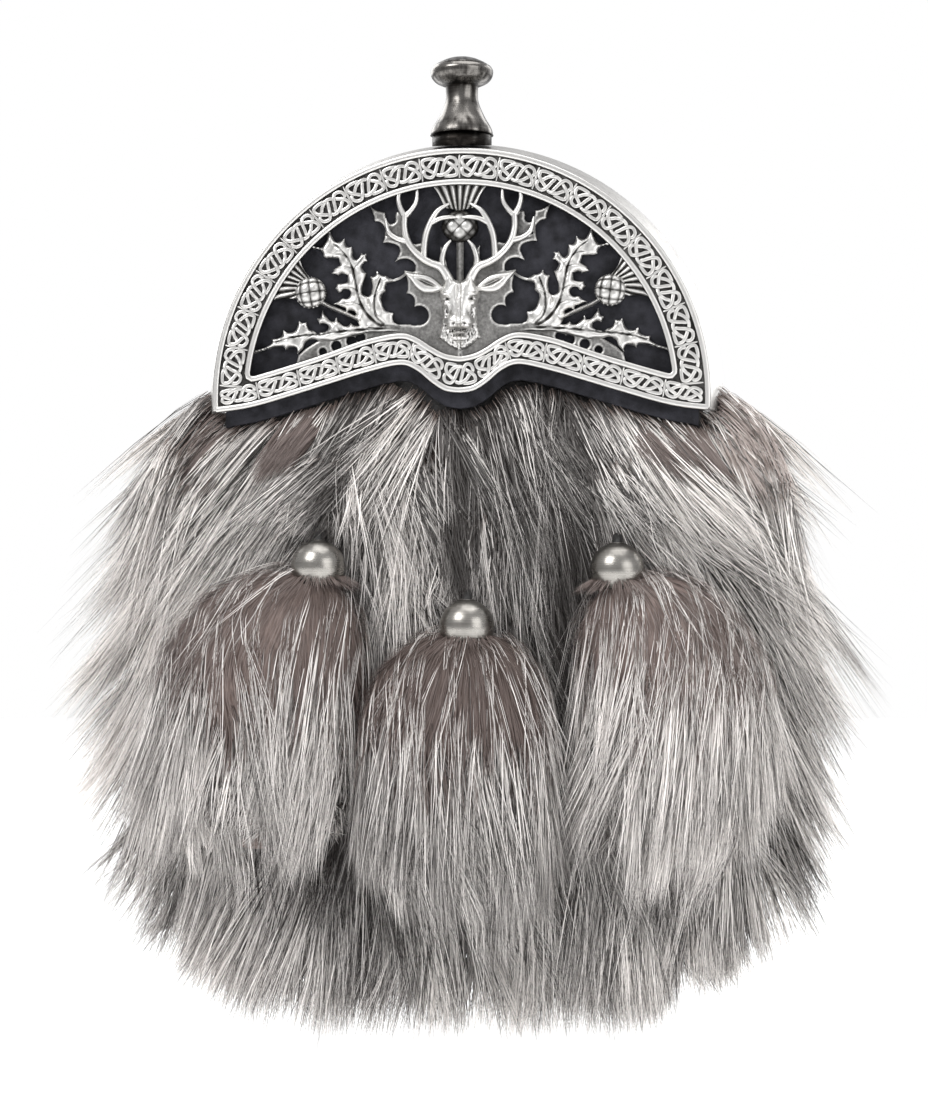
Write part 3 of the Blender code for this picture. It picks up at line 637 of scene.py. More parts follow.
def make_hair_tree():
    """Group that puts a blade on every root, bends it along its path and gives it its width."""
    tree, roots, blade, hair = new_tree("hair_on_roots", Roots="Geometry", Blade="Object",
                                        Hair="Material")

    def named(name, kind="FLOAT"):
        return add(tree, "GeometryNodeInputNamedAttribute", {"data_type": kind}, {"Name": name})

    shape = add(tree, "GeometryNodeObjectInfo", {}, {"Object": blade}, output=4)
    copies = add(tree, "GeometryNodeInstanceOnPoints", {}, {"Points": roots, "Instance": shape})
    real = add(tree, "GeometryNodeRealizeInstances", {}, {"Geometry": copies})
    t = named("along")
    back = 1.0 - t
    bend = (named("bend_1", "FLOAT_VECTOR").scaled(3.0 * t * back * back)
            + named("bend_2", "FLOAT_VECTOR").scaled(3.0 * t * t * back)
            + named("bend_3", "FLOAT_VECTOR").scaled(t * t * t))
    wide = named("width") * named("across") * (0.55 + 1.6 * t - 2.0 * t * t * t)
    edge = named("sideways", "FLOAT_VECTOR").scaled(wide)
    root = named("root", "FLOAT_VECTOR")
    bent = add(tree, "GeometryNodeSetPosition", {}, {"Geometry": real, "Position": root + bend + edge})
    column = 0.015 + 0.97 * named("tone") + 0.012 * named("across")
    place = add(tree, "ShaderNodeCombineXYZ", {}, {0: column, 1: 0.01 + 0.98 * t})
    mapped = add(tree, "GeometryNodeStoreNamedAttribute", {"data_type": "FLOAT2", "domain": "CORNER"},
                 {"Geometry": bent, "Name": "OFBake", "Value": place})
    return end_tree(tree, mapped, hair)


hair_tree = make_hair_tree()
print("hair tree:", len(hair_tree.nodes), "nodes")

# %% Run the tree on a set of roots
def node_result(name, mesh, tree, inputs):
    """Plain mesh object of a tree run on a mesh; inputs are named as in the tree."""
    source = linked(name + "_source", mesh)
    modifier = source.modifiers.new("nodes", "NODES")
    modifier.node_group = tree
    for item in tree.interface.items_tree:
        if item.in_out == "INPUT" and item.name in inputs:
            modifier[item.identifier] = inputs[item.name]
    depsgraph = bpy.context.evaluated_depsgraph_get()
    made = bpy.data.meshes.new_from_object(source.evaluated_get(depsgraph))
    source.modifiers.clear()
    bpy.data.objects.remove(source, do_unlink=True)
    return linked(name, made)


def hair_piece(name, paths, normals, widths, tones, material, blade, rng, tilt=0.5):
    """Strands as blades, each turned a little at random about its own length."""
    third = (paths.shape[1] - 1) // 3
    first, second, tip = (paths[:, k * third] - paths[:, 0] for k in (1, 2, 3))
    bend_1 = (18.0 * first - 9.0 * second + 2.0 * tip) / 18.0
    bend_2 = (-9.0 * first + 18.0 * second - 5.0 * tip) / 18.0
    along = tip / np.maximum(np.linalg.norm(tip, axis=1, keepdims=True), 1e-6)
    side = np.cross(along, normals)
    side /= np.maximum(np.linalg.norm(side, axis=1, keepdims=True), 1e-6)
    turn = rng.normal(size=(len(paths), 1)) * tilt
    side = side * np.cos(turn) + normals * np.sin(turn)
    mesh = bpy.data.meshes.new(name)
    mesh.vertices.add(len(paths))
    mesh.vertices.foreach_set("co", paths[:, 0].ravel())
    for label, values in (("root", paths[:, 0]), ("bend_1", bend_1), ("bend_2", bend_2),
                          ("bend_3", tip), ("sideways", side)):
        store(mesh, label, values, "FLOAT_VECTOR")
    store(mesh, "width", widths)
    store(mesh, "tone", unit(tones))
    piece = node_result(name, mesh, hair_tree, {"Blade": blade, "Hair": material})
    for attribute in [a.name for a in piece.data.attributes if a.data_type in ("FLOAT", "FLOAT_VECTOR")]:
        if attribute != "position":
            piece.data.attributes.remove(piece.data.attributes[attribute])
    piece.data.shade_smooth()
    print(name, len(paths), "strands,", triangles_of(piece), "triangles")
    return piece


print("hair can be made on roots")

# %% Hair materials
def make_hair_material(name, root_dark, root_light, tip_dark, tip_light, turn_at):
    """Colour from the strand's map: lightness across, root to tip upwards."""
    material, tree, shader = new_material(name, Roughness=0.5, Specular_IOR_Level=0.35)
    place = add(tree, "ShaderNodeUVMap", {"uv_map": "OFBake"})
    tone = part_of(place, 0)
    root = mixed(tone, root_dark, root_light)
    tip = mixed(tone ** 1.2, tip_dark, tip_light)
    feed(tree, shader["Base Color"], mixed(part_of(place, 1).between(*turn_at), root, tip))
    return material


guard_hair = make_hair_material("silver_guard_hair", (0.010, 0.0075, 0.0065), (0.180, 0.136, 0.118),
                                (0.020, 0.016, 0.014), (0.95, 0.905, 0.868), (0.06, 0.42))
under_hair = make_hair_material("soft_underfur", (0.090, 0.064, 0.056), (0.30, 0.245, 0.225),
                                (0.115, 0.085, 0.076), (0.60, 0.525, 0.49), (0.1, 0.9))


def make_undercoat_material():
    """Dense dark wool at the hair's roots."""
    material, tree, shader = new_material("dark_undercoat", Roughness=0.95, Specular_IOR_Level=0.1)
    place = place_on_piece(tree)
    tuft = noise_at(tree, place, 700.0, 4.0)
    tone = tuft * 0.7 + noise_at(tree, place, 60.0) * 0.3
    feed(tree, shader["Base Color"], mixed(tone, (0.018, 0.014, 0.013), (0.075, 0.058, 0.053)))
    bumped(tree, shader, tuft, 0.8, 1.2 * MM)
    return material


undercoat = make_undercoat_material()
print("hair materials: 3")

# %% Pelt undercoat
UNDERCOAT_SHARE = 0.76                   # of the pelt's outer form
FOOT_Z, FOOT_SHARE = -160.0, 0.62        # below this height the undercoat is drawn up to this share


def merged(node):
    """Closed bmesh of a node of the frame, whose own mesh is loose triangles."""
    bm = bmesh.new()
    bm.from_mesh(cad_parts[node].data)
    bmesh.ops.remove_doubles(bm, verts=bm.verts, dist=1e-6)
    return bm


def points_of(mesh):
    points = np.empty(len(mesh.vertices) * 3)
    mesh.vertices.foreach_get("co", points)
    return points.reshape(-1, 3)


def foot_drawn_up(z):
    """Heights of the undercoat, whose foot stays above the ends of the hair."""
    return np.where(z < FOOT_Z, FOOT_Z + (z - FOOT_Z) * FOOT_SHARE, z)


def make_pelt_undercoat():
    """The pelt's own solid, its outside drawn in so that the hair covers it."""
    piece = linked("pelt_undercoat", mesh_of("pelt_undercoat", merged("fur_pelt"), undercoat))
    piece.data.shade_smooth()
    points = points_of(piece.data)
    level = pelt_level(points)
    drawn = np.where(level > UNDERCOAT_SHARE, UNDERCOAT_SHARE + (level - UNDERCOAT_SHARE) * 0.15, level)
    share = (drawn / np.maximum(level, 1e-3))[:, None]
    back = np.array((0.0, PELT_BACK * MM, 0.0))
    kept = back + (points - back) * np.hstack([share, share, np.ones_like(share)])
    kept[:, 2] = foot_drawn_up(kept[:, 2] / MM) * MM
    piece.data.vertices.foreach_set("co", kept.ravel())
    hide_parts("fur_pelt")
    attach(piece, "root")
    return piece


pelt_undercoat = make_pelt_undercoat()
print("pelt undercoat:", len(pelt_undercoat.data.vertices), "points")

# %% [markdown]
# ## Fur: the pelt
#
# The pelt's hair starts on the drawn-in undercoat and is 40 to 60 mm long. Roots are spread over
# the form, and more are added where hair is dense or first seen: along the leather strip, on the
# shoulders, at the bottom, and over the balls, where tufts cover the thongs. The hair is split
# into pieces by place, so that no piece is too heavy. On a few patches the short brown underfur
# shows, so little guard hair grows there.

# %% Sizes of the pelt's hair
PELT_GUIDES = 5300
FRINGE_GUIDES = 480
HEM_GUIDES = 900
TUFT_GUIDES = 60
PELT_STRANDS = 8
PELT_LOCKS = 260
SPLIT_X, SPLIT_Z = -20.0, -130.0         # between the three pieces of hair
LOWEST_TIPS = np.array((                 # from the centre, and how low the dense hair ends
    (0, -218), (42, -217), (60, -211), (70, -205), (80, -199), (90, -190), (110, -168),
))
STAND_OUT = np.array((                   # height, and how far tips stand off the form left and right
    (-150, 0.12, 0.04), (-125, 0.14, 0.1), (-108, 0.23, 0.175), (-90, 0.185, 0.16), (-70, 0.12, 0.07),
    (-50, 0.09, -0.03), (-35, 0.06, -0.03), (-20, 0.12, 0.02),
))
SOFT_HAIRS = 3600
SHOULDER_GUIDES = 760
SOFT_PATCHES = np.array((                # x, z, radius and lightness of the places where underfur shows
    (-76, -31, 7, 0.1), (-46, -31, 6.5, 0), (65, -36, 8.5, 0.05), (50, -34, 4.5, 0.05),
    (90, -30, 15, 0.85),
))
print("pelt hair in", PELT_LOCKS, "locks")

# %% Roots all over the pelt
ROOT_SHARE = 0.80                        # of the pelt's outer form
ROOT_GAP = 0.8                           # from the pouch to the nearest roots


def pelt_roots(count, rng):
    """Even roots over the drawn-in form, outside the pouch and below the leather strip."""
    angle = rng.uniform(0.0, math.pi, count)
    z = rng.uniform(-184.0, -16.0, count)
    left, right, front, square = form_at(z)
    flat = 2.0 / square
    x = -np.sign(np.cos(angle)) * np.abs(np.cos(angle)) ** flat * np.where(np.cos(angle) > 0, left, right)
    x, ahead = x * ROOT_SHARE, np.sin(angle) ** flat * front * ROOT_SHARE
    wall = np.interp(z, *POUCH_SIDE.T) + ROOT_GAP
    inside = (np.abs(x) < wall) & (ahead < POUCH_DEPTH + ROOT_GAP)
    ahead = np.where(inside & (np.abs(x) < wall - 12.0), POUCH_DEPTH + ROOT_GAP, ahead)
    x = np.where(inside & (np.abs(x) >= wall - 12.0), np.sign(x) * wall, x)
    keep = (np.abs(x) > 76.5) | (z < strip_edge(x) - 1.0)
    return np.column_stack([x, PELT_BACK - ahead, z])[keep] * MM


def hem_roots(count, rng):
    """Roots at the bottom of the pelt, spread evenly from side to side and through its depth."""
    x = rng.uniform(-84.0, 88.0, count)
    z = rng.uniform(-184.0, -160.0, count)
    left, right, front, square = form_at(z)
    across = unit(np.abs(x) / (0.84 * np.where(x < 0.0, left, right)))
    ahead = 0.84 * front * (1.0 - across ** square) ** (1.0 / square) * rng.uniform(0.45, 1.0, count)
    return np.column_stack([x, PELT_BACK - ahead, z])[across < 1.0] * MM


def fringe_roots(count, rng):
    """Roots along the lower edge of the leather strip, where the front hair begins."""
    x = rng.uniform(-74.0, 74.0, count)
    return np.column_stack([x, np.full(count, -30.4), strip_edge(x) - rng.uniform(0.4, 7.0, count)]) * MM


CORNER_SHARE = 0.06                      # of the shoulders' roots, just below the cantle's corners


def shoulder_roots(count, rng):
    """Roots on the pelt's shoulders, outside the cantle's two ends and close below its corners."""
    z = rng.uniform(-50.0, -17.5, count)
    z = np.where(rng.random(count) < CORNER_SHARE, rng.uniform(-25.5, -23.4, count), z)
    side = rng.choice((-1.0, 1.0), count)
    left, right, front, _ = form_at(z)
    inner = np.where(z < -23.3, 72.0, 77.0)
    outer = np.maximum(0.93 * np.where(side < 0.0, left, right), 79.0)
    x = inner + (outer - inner) * rng.random(count) ** 1.4
    return np.column_stack([x * side, PELT_BACK - rng.uniform(0.05, 0.80, count) * front, z]) * MM


print("roots reach", ROOT_SHARE, "of the form")

# %% Roots in special places
def behind_tassel(points):
    """True where a tassel covers the pelt."""
    hidden = np.zeros(len(points), dtype=bool)
    for cap_x, cap_z, lean, bottom, half_wide, _, _ in TASSELS.values():
        middle = np.array((cap_x + lean, (cap_z + bottom) / 2.0)) * MM
        size = np.array((half_wide - 5.0, (cap_z - bottom) / 2.0 - 8.0)) * MM
        hidden |= np.sum(((points[:, (0, 2)] - middle) / size) ** 2, axis=1) < 1.0
    return hidden & (points[:, 1] < -20.0 * MM)


def tuft_roots(rng):
    """Roots just above each ball, and the height of the ball below every one of them."""
    roots, balls = [], []
    for cap_x, cap_z, *_ in TASSELS.values():
        x = cap_x + rng.uniform(-9.0, 9.0, TUFT_GUIDES)
        z = cap_z + rng.uniform(15.0, 34.0, TUFT_GUIDES)
        ahead = 0.88 * form_at(z)[2]
        roots.append(np.column_stack([x, PELT_BACK - ahead, z]) * MM)
        balls.append(np.full(TUFT_GUIDES, cap_z * MM))
    return np.vstack(roots), np.concatenate(balls)


def in_soft_patch(points):
    """True where the short underfur shows between the guard hairs, and how light it is there."""
    gap = np.hypot(points[:, None, 0] / MM - SOFT_PATCHES[None, :, 0],
                   points[:, None, 2] / MM - SOFT_PATCHES[None, :, 1]) / SOFT_PATCHES[None, :, 2]
    return gap.min(axis=1) < 1.0, SOFT_PATCHES[gap.argmin(axis=1), 3]


def low_side(points):
    """1 at the lower corners of the pelt, where the hair is thin and short, 0 elsewhere."""
    x, z = np.abs(points[:, 0]) / MM, points[:, 2] / MM
    return unit((x - 66.0) / 26.0) * unit((-z - 128.0) / 38.0)


print("soft patches:", len(SOFT_PATCHES))

# %% Guides of the pelt
def guide_roots(rng):
    """Roots of all the pelt's guides, with the tufts over the balls last, and those balls' heights."""
    roots = pelt_roots(PELT_GUIDES * 2, rng)
    roots = roots[~behind_tassel(roots) | (rng.random(len(roots)) < 0.2)][:PELT_GUIDES]
    roots = roots[rng.random(len(roots)) > 0.55 * low_side(roots)]
    roots = np.vstack([roots, fringe_roots(FRINGE_GUIDES, rng), shoulder_roots(SHOULDER_GUIDES, rng),
                       hem_roots(HEM_GUIDES, rng)])
    roots = roots[~in_soft_patch(roots)[0] | (rng.random(len(roots)) < 0.25)]
    tufts, balls = tuft_roots(rng)
    return np.vstack([roots, tufts]), balls


def guide_lengths(roots, balls, rng):
    """Length of each guide. Low tips end in a soft row, and the tufts end just above their balls."""
    lengths = rng.uniform(38.0, 62.0, len(roots)) * MM * (1.0 + 0.15 * waviness(roots, 20.0 * MM, 3))
    lengths *= 1.0 - 0.28 * low_side(roots)
    lowest = np.interp(np.abs(roots[:, 0]), *(LOWEST_TIPS * MM).T)
    room = np.maximum(roots[:, 2] - lowest, 12.0 * MM) - rng.exponential(3.0, len(roots)) * MM
    lengths = np.minimum(lengths, room)
    lengths[-len(balls):] = roots[-len(balls):, 2] - balls - rng.uniform(2.0, 6.0, len(balls)) * MM
    return lengths


def guide_ends(roots, rng):
    """Level that each guide's tip reaches: further out where the fur stands off, lower in a parting."""
    height = roots[:, 2] / MM
    left, right = (np.interp(height, STAND_OUT[:, 0], STAND_OUT[:, k]) for k in (1, 2))
    extra = np.where(roots[:, 0] < 0.0, left, right) * np.abs(roots[:, 0]) / (100.0 * MM)
    return rng.normal(1.0, 0.035, len(roots)) + extra - 0.12 * parted(roots)


def rising(start, end, power):
    """Level at each share of a guide's length: it climbs near the root and then runs along the form."""
    def rise(t):
        return start + (end - start) * (1.0 - (1.0 - t) ** power)

    return rise


def lock_turns(group, count, own, shared, rng):
    """Change of direction of each guide: some of its own, and some that its whole lock has."""
    turn = rng.normal(size=(len(group), 3)) * own
    return turn + (rng.normal(size=(count, 3)) * shared)[group]


def pelt_guides(roots, balls, rng):
    """Guides walked over the pelt, and the lock that each of them belongs to."""
    lengths = guide_lengths(roots, balls, rng)
    end = guide_ends(roots, rng)
    chosen, group = lock_groups(roots, PELT_LOCKS, rng)
    turn = lock_turns(group, PELT_LOCKS, (0.12, 0.06, 0.0), (0.22, 0.14, 0.0), rng)
    end += rng.normal(0.0, 0.045, PELT_LOCKS)[group]
    end[-len(balls):] = rng.uniform(1.18, 1.32, len(balls))
    paths = grow(pelt_level, roots, pelt_flow, lengths, rising(pelt_level(roots), end, 2.6), turn)
    return gather(paths, chosen, group, 0.40), group


print("guides in all:", PELT_GUIDES + FRINGE_GUIDES + SHOULDER_GUIDES + HEM_GUIDES, "at most")

# %% Pelt hair
def guide_tone_and_painted_shade(paths, group, rng):
    """Lightness of each guide: as combed, painted shade included, with slow patches, and a little different
    in every lock.
    """
    _, light = combed(paths[:, 3])
    light = light + 0.16 * waviness(paths[:, 0], 14.0 * MM, 8) + 0.08 * waviness(paths[:, 0], 5.0 * MM, 9)
    return light + (rng.normal(0.0, 0.10, len(group)) + rng.normal(0.0, 0.10, PELT_LOCKS)[group])


def strand_tones(strands, light, rng):
    """Lightness of each strand: dark hair is mixed in, and shade is painted along the partings and under the
    tassels.
    """
    level = np.repeat(light, PELT_STRANDS)
    tones = level + (0.42 - 0.24 * level) * rng.normal(0.0, 1.0, len(strands))
    dark = rng.random(len(strands)) < 0.18 + 0.25 * unit(1.0 - tones)
    # Painted shade: strands that pass a parting or the line under the tassels are darkened.
    painted_shade = np.maximum(parted(strands[:, 3]), parted(strands[:, 5]))
    return np.where(dark, tones * 0.1, tones) * (1.0 - 0.95 * painted_shade)


def add_pelt_hair():
    """Guard hair in three pieces, split by where the middle of a strand lies."""
    rng = np.random.default_rng(11)
    paths, group = pelt_guides(*guide_roots(rng), rng)
    light = guide_tone_and_painted_shade(paths, group, rng)
    strands, normals = locks(paths, pelt_level, PELT_STRANDS, 1.4 * MM, 0.55, rng, 2.8 * MM, 0.60)
    strands = kept_inside(strands)
    tones = strand_tones(strands, light, rng)
    widths = rng.uniform(0.20, 0.37, len(strands)) * MM
    x, z = strands[:, 3, 0] / MM, strands[:, 3, 2] / MM
    zones = {"pelt_hair_left": (x < SPLIT_X) & (z > SPLIT_Z),
             "pelt_hair_right": (x >= SPLIT_X) & (z > SPLIT_Z),
             "pelt_hair_bottom": z <= SPLIT_Z}
    for name, chosen in zones.items():
        piece = hair_piece(name, strands[chosen], normals[chosen], widths[chosen], tones[chosen],
                           guard_hair, hair_blade, rng)
        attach(piece, "root")


def add_soft_patches():
    """Short brown underfur, brushed flat, where the guard hair is thin."""
    rng = np.random.default_rng(12)
    roots = np.vstack([pelt_roots(SOFT_HAIRS * 12, rng), fringe_roots(SOFT_HAIRS * 2, rng),
                       shoulder_roots(SOFT_HAIRS, rng)])
    inside, light = in_soft_patch(roots + np.array((0.0, 0.0, -4.0 * MM)))
    roots, light = roots[inside][-SOFT_HAIRS:], light[inside][-SOFT_HAIRS:]
    count = len(roots)
    rise = rising(pelt_level(roots), 0.97, 2.0)
    paths = grow(pelt_level, roots, pelt_flow, rng.uniform(14.0, 24.0, count) * MM, rise, steps=3)
    normals, _ = outward(pelt_level, paths[:, 1])
    piece = hair_piece("pelt_soft_patches", paths, normals, rng.uniform(0.22, 0.40, count) * MM,
                       light + rng.uniform(0.0, 0.3, count), under_hair, short_blade, rng, tilt=0.25)
    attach(piece, "root")


add_pelt_hair()
add_soft_patches()

# %% [markdown]
# ## Fur: the tassels
#
# Each tassel is a bundle of tails tied under a ball. Its crown is soft wool that shows between
# the first white hairs, and lower down the white hair closes over it. So a tassel gets an
# undercoat, a short soft coat on its upper half and long guard hair that starts thin at the ball.
# Its tips end along a hem that is lowest in the middle, as hair hangs from a round bundle.

# %% Sizes of the tassels' hair
TASSEL_GUIDES = 1380
TASSEL_STRANDS = 8
TASSEL_LOCKS = 70
LONG_HAIRS = {"left": 190, "centre": 140, "right": 260}
LONG_STRANDS = 4
CROWN_HAIRS = 3300
COLLAR_HAIRS = 420
WHITE_BEGINS = {                         # share of the half-width, and how far below the ball
    "left": ((-1, 4), (-0.76, 8), (-0.58, 14), (-0.36, 44), (-0.2, 42), (0, 33), (0.3, 33),
             (0.6, 38), (1, 34)),
    "centre": ((-1, 6), (-0.85, 10), (-0.7, 24), (-0.3, 29), (0.2, 32), (0.7, 31), (1, 26)),
    "right": ((-1, 26), (-0.5, 32), (-0.1, 31), (0.2, 22), (0.5, 14), (0.8, 20), (1, 12)),
}
WHITENESS = {"left": 0.67, "centre": 0.47, "right": 0.74}
WOOL = {"left": 0.88, "centre": 0.55, "right": 1.08}         # brightness of the crown's wool
CROWN_LIGHTEST = {"left": 0.22, "centre": 0.10, "right": 0.36}
LOWER_LEAN = {"left": -0.05, "centre": 0.03, "right": -0.14}
HEM = {                                  # height of the longest tips in the middle, and rise to the right
    "left": (-161, 7), "centre": (-176, -2), "right": (-162, 9),
}
UNDERCOAT_LEVEL, ROOT_LEVEL = 0.94, 0.92
print("white guides:", TASSEL_GUIDES, "at most for each tassel")

# %% Wool and roots of a tassel
def make_crown_material(name):
    """Mauve-brown wool of a tassel's crown, brushed away from the ball."""
    material, tree, shader = new_material(f"crown_wool_{name}", Roughness=0.9, Specular_IOR_Level=0.12)
    cap_x, cap_z, *_, middle_y = TASSELS[name]
    ball = Vector((-cap_x, CAP_AHEAD - middle_y, -cap_z)) * MM
    place = add(tree, "ShaderNodeMapping", {}, {"Vector": place_on_piece(tree), "Location": ball})
    x, y, z = (part_of(place, k) for k in range(3))
    round_ball = add(tree, "ShaderNodeMath", {"operation": "ARCTAN2"}, {0: x, 1: y})
    strokes = add(tree, "ShaderNodeCombineXYZ", {}, {0: round_ball * 26.0, 1: z * 60.0, 2: 0.0})
    streak = noise_at(tree, strokes, 3.0, 3.0)
    deep, middling, light = (tuple(WOOL[name] * value for value in shade) for shade in (
        (0.086, 0.061, 0.053), (0.158, 0.119, 0.106), (0.262, 0.208, 0.189)))
    wool = mixed(noise_at(tree, place, 70.0).between(0.35, 0.65), deep, middling)
    feed(tree, shader["Base Color"], mixed(streak.between(0.30, 0.75), wool, light))
    bumped(tree, shader, streak, 0.35, 0.3 * MM)
    return material


def out_to_level(form, way, share, halvings):
    """Where lines from a form's middle along `way` cross its level `share`, by halving."""
    level, middle, _ = form
    low, high = np.zeros(len(way)), np.full(len(way), 1.6)
    for _ in range(halvings):
        half = (low + high) / 2.0
        out = level(middle + way * half[:, None]) > share
        low, high = np.where(out, low, half), np.where(out, half, high)
    return middle + way * low[:, None]


def add_tassel_undercoat(name, form):
    """Wool under a tassel's hair, a little thinner in its lower half."""
    _, middle, size = form
    bm = bmesh.new()
    bmesh.ops.create_icosphere(bm, subdivisions=5, radius=1.0)
    piece = linked(f"tassel_{name}_undercoat", mesh_of("undercoat", bm, make_crown_material(name)))
    points = out_to_level(form, points_of(piece.data) * size, UNDERCOAT_LEVEL, 24)
    thin = unit((middle[2] + 4.0 * MM - points[:, 2]) / (30.0 * MM))[:, None]
    points = middle + (points - middle) * (1.0 - 0.16 * thin)
    piece.data.vertices.foreach_set("co", points.ravel())
    piece.data.shade_smooth()
    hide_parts(f"tassel_{name}_fur")
    return piece


def tassel_roots(form, count, share, rng, lowest):
    """Random points on a form's level `share`, above a height."""
    way = rng.normal(size=(count * 3, 3))
    way = way / np.linalg.norm(way, axis=1, keepdims=True) * form[2]
    points = out_to_level(form, way, share, 20)
    return points[points[:, 2] > lowest][:count]


def collar_paths(name, rng):
    """Short hair that springs from round the ball's foot, over its edge, and falls."""
    cap_x, cap_z, lean, *_, middle_y = TASSELS[name]
    angle = rng.uniform(0.0, math.tau, COLLAR_HAIRS)[:, None]
    t = np.linspace(0.0, 1.0, 4)[None, :]
    length = rng.uniform(7.0, 15.0, COLLAR_HAIRS)[:, None]
    length = length * np.where(np.cos(angle) * lean < 0.0, 0.55, 1.0)
    out = rng.uniform(6.4, 8.0, COLLAR_HAIRS)[:, None] + 0.80 * length * t
    up = rng.uniform(-5.0, -2.6, COLLAR_HAIRS)[:, None] + length * (0.42 * t - 0.82 * t * t)
    return np.stack([cap_x + out * np.cos(angle), middle_y - CAP_AHEAD + out * np.sin(angle) * 0.9,
                     cap_z + up], axis=2) * MM


print("crown hairs:", CROWN_HAIRS, "and in the collar:", COLLAR_HAIRS)

# %% White hair of a tassel
def white_roots(name, form, rng):
    """Roots of the white hair: few above the line where it begins, then dense."""
    _, cap_z, _, bottom, half_wide, _, _ = TASSELS[name]
    roots = tassel_roots(form, TASSEL_GUIDES * 2, ROOT_LEVEL, rng, bottom * MM + 16.0 * MM)
    across = (roots[:, 0] - form[1][0]) / (half_wide * MM)
    begins = cap_z - np.interp(across, *np.transpose(WHITE_BEGINS[name]))
    begins += 5.0 * waviness(roots, 7.0 * MM, 61)
    thinned = unit((roots[:, 2] / MM - begins + 8.0) / 16.0)
    return roots[rng.random(len(roots)) > 0.95 * thinned][:TASSEL_GUIDES]


def white_hair(name, form, flow, rng):
    """Strands, normals and tones of the white hair, which ends along the tassel's hem."""
    level, middle, size = form
    roots = white_roots(name, form, rng)
    count = len(roots)
    chosen, group = lock_groups(roots, TASSEL_LOCKS, rng)
    lengths = rng.uniform(36.0, 62.0, count) * MM
    across = np.clip((roots[:, 0] - middle[0]) / size[0], -1.0, 1.0)
    hem = (HEM[name][0] + HEM[name][1] * across + 24.0 * np.abs(across) ** 2.5) * MM
    hem += rng.normal(0.0, 6.5, TASSEL_LOCKS)[group] * MM
    lengths = np.minimum(lengths, roots[:, 2] - hem + rng.normal(0.0, 4.0, count) * MM)
    lengths = np.maximum(lengths, 6.0 * MM)
    end = ROOT_LEVEL + rng.normal(0.20, 0.05, count) * np.clip(lengths / (26.0 * MM), 0.2, 1.0)
    turn = lock_turns(group, TASSEL_LOCKS, (0.11, 0.06, 0.0), (0.14, 0.08, 0.0), rng)
    paths = grow(level, roots, flow, lengths, rising(ROOT_LEVEL, end, 1.8), turn)
    paths = gather(paths, chosen, group, 0.45)
    light = WHITENESS[name] + 0.16 * waviness(roots, 12.0 * MM, 60) + rng.normal(0.0, 0.12, count)
    strands, normals = locks(paths, level, TASSEL_STRANDS, 1.1 * MM, 0.60, rng)
    tones = np.repeat(light, TASSEL_STRANDS) + rng.normal(0.0, 0.36 - 0.20 * WHITENESS[name], len(strands))
    return strands, normals, np.where(rng.random(len(strands)) < 0.20, tones * 0.2, tones)


def long_hair(name, form, flow, rng):
    """Single long white hairs that spring from the crown and lie over the rest."""
    level, middle, _ = form
    roots = tassel_roots(form, 1800, 0.99, rng, middle[2] + 7.0 * MM)[:LONG_HAIRS[name]]
    count = len(roots)
    turn = rng.normal(size=(count, 3)) * (0.14, 0.06, 0.0)
    paths = grow(level, roots, flow, rng.uniform(34.0, 64.0, count) * MM,
                 lambda t: np.full(count, 1.0 + 0.13 * t ** 0.7), turn)
    strands, normals = locks(paths, level, LONG_STRANDS, 1.0 * MM, 0.45, rng)
    return strands, normals, rng.uniform(0.40, 1.0, len(strands))


print("long hairs:", LONG_HAIRS)

# %% Crown of a tassel, and the whole tassel
def add_crown(name, form, flow, rng):
    """Short brown wool of the crown, and the small collar of hair round the ball's foot."""
    level, middle, _ = form
    roots = tassel_roots(form, CROWN_HAIRS, ROOT_LEVEL, rng, middle[2] - 8.0 * MM)
    count = len(roots)
    paths = grow(level, roots, flow, rng.uniform(9.0, 16.0, count) * MM,
                 lambda t: np.full(count, 0.94 + 0.10 * t), steps=3)
    paths = np.vstack([paths, collar_paths(name, rng)])
    normals, _ = outward(level, paths[:, 1])
    widths = rng.uniform(0.16, 0.30, len(paths)) * MM
    tones = rng.uniform(0.0, CROWN_LIGHTEST[name], len(paths))
    return hair_piece(f"tassel_{name}_crown", paths, normals, widths, tones,
                      under_hair, short_blade, rng, tilt=0.25)


def add_tassel(name):
    form = tassel_form(name)
    flow = tassel_flow(name)
    rng = np.random.default_rng(40 + list(TASSELS).index(name))
    coat = add_tassel_undercoat(name, form)
    white = white_hair(name, form, flow, rng)
    long = long_hair(name, form, flow, rng)
    strands, normals, tones = (np.concatenate(pair) for pair in zip(white, long))
    widths = rng.uniform(0.18, 0.34, len(strands)) * MM
    widths[-len(long[0]):] *= 0.78
    hair = hair_piece(f"tassel_{name}_hair", kept_inside(strands), normals, widths, tones,
                      guard_hair, hair_blade, rng)
    for piece in (coat, hair, add_crown(name, form, flow, rng)):
        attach(piece, "root")


for tassel in TASSELS:
    add_tassel(tassel)

# %% [markdown]
# ## Metal: three ways to build cast work
#
# The cantle is one casting, but what is on it is of three kinds. Rims, knot ribbons and antlers
# follow a path, so they are swept along it. The band's ground and the side wall are plain plates.
# Leaves, thistles and the stag's face are reliefs: a shape seen from the front, with a height at
# every point. Cast pewter is blackened and then polished, so its high spots are bright and its
# hollows stay dark. Each point carries that as an attribute named relief, from 0 to 1.

# %% Antique pewter
def relief_of(tree):
    """How far a point stands out, from 0 in a hollow to 1 on a high spot."""
    return add(tree, "ShaderNodeAttribute", {"attribute_name": "relief"}, output=2)


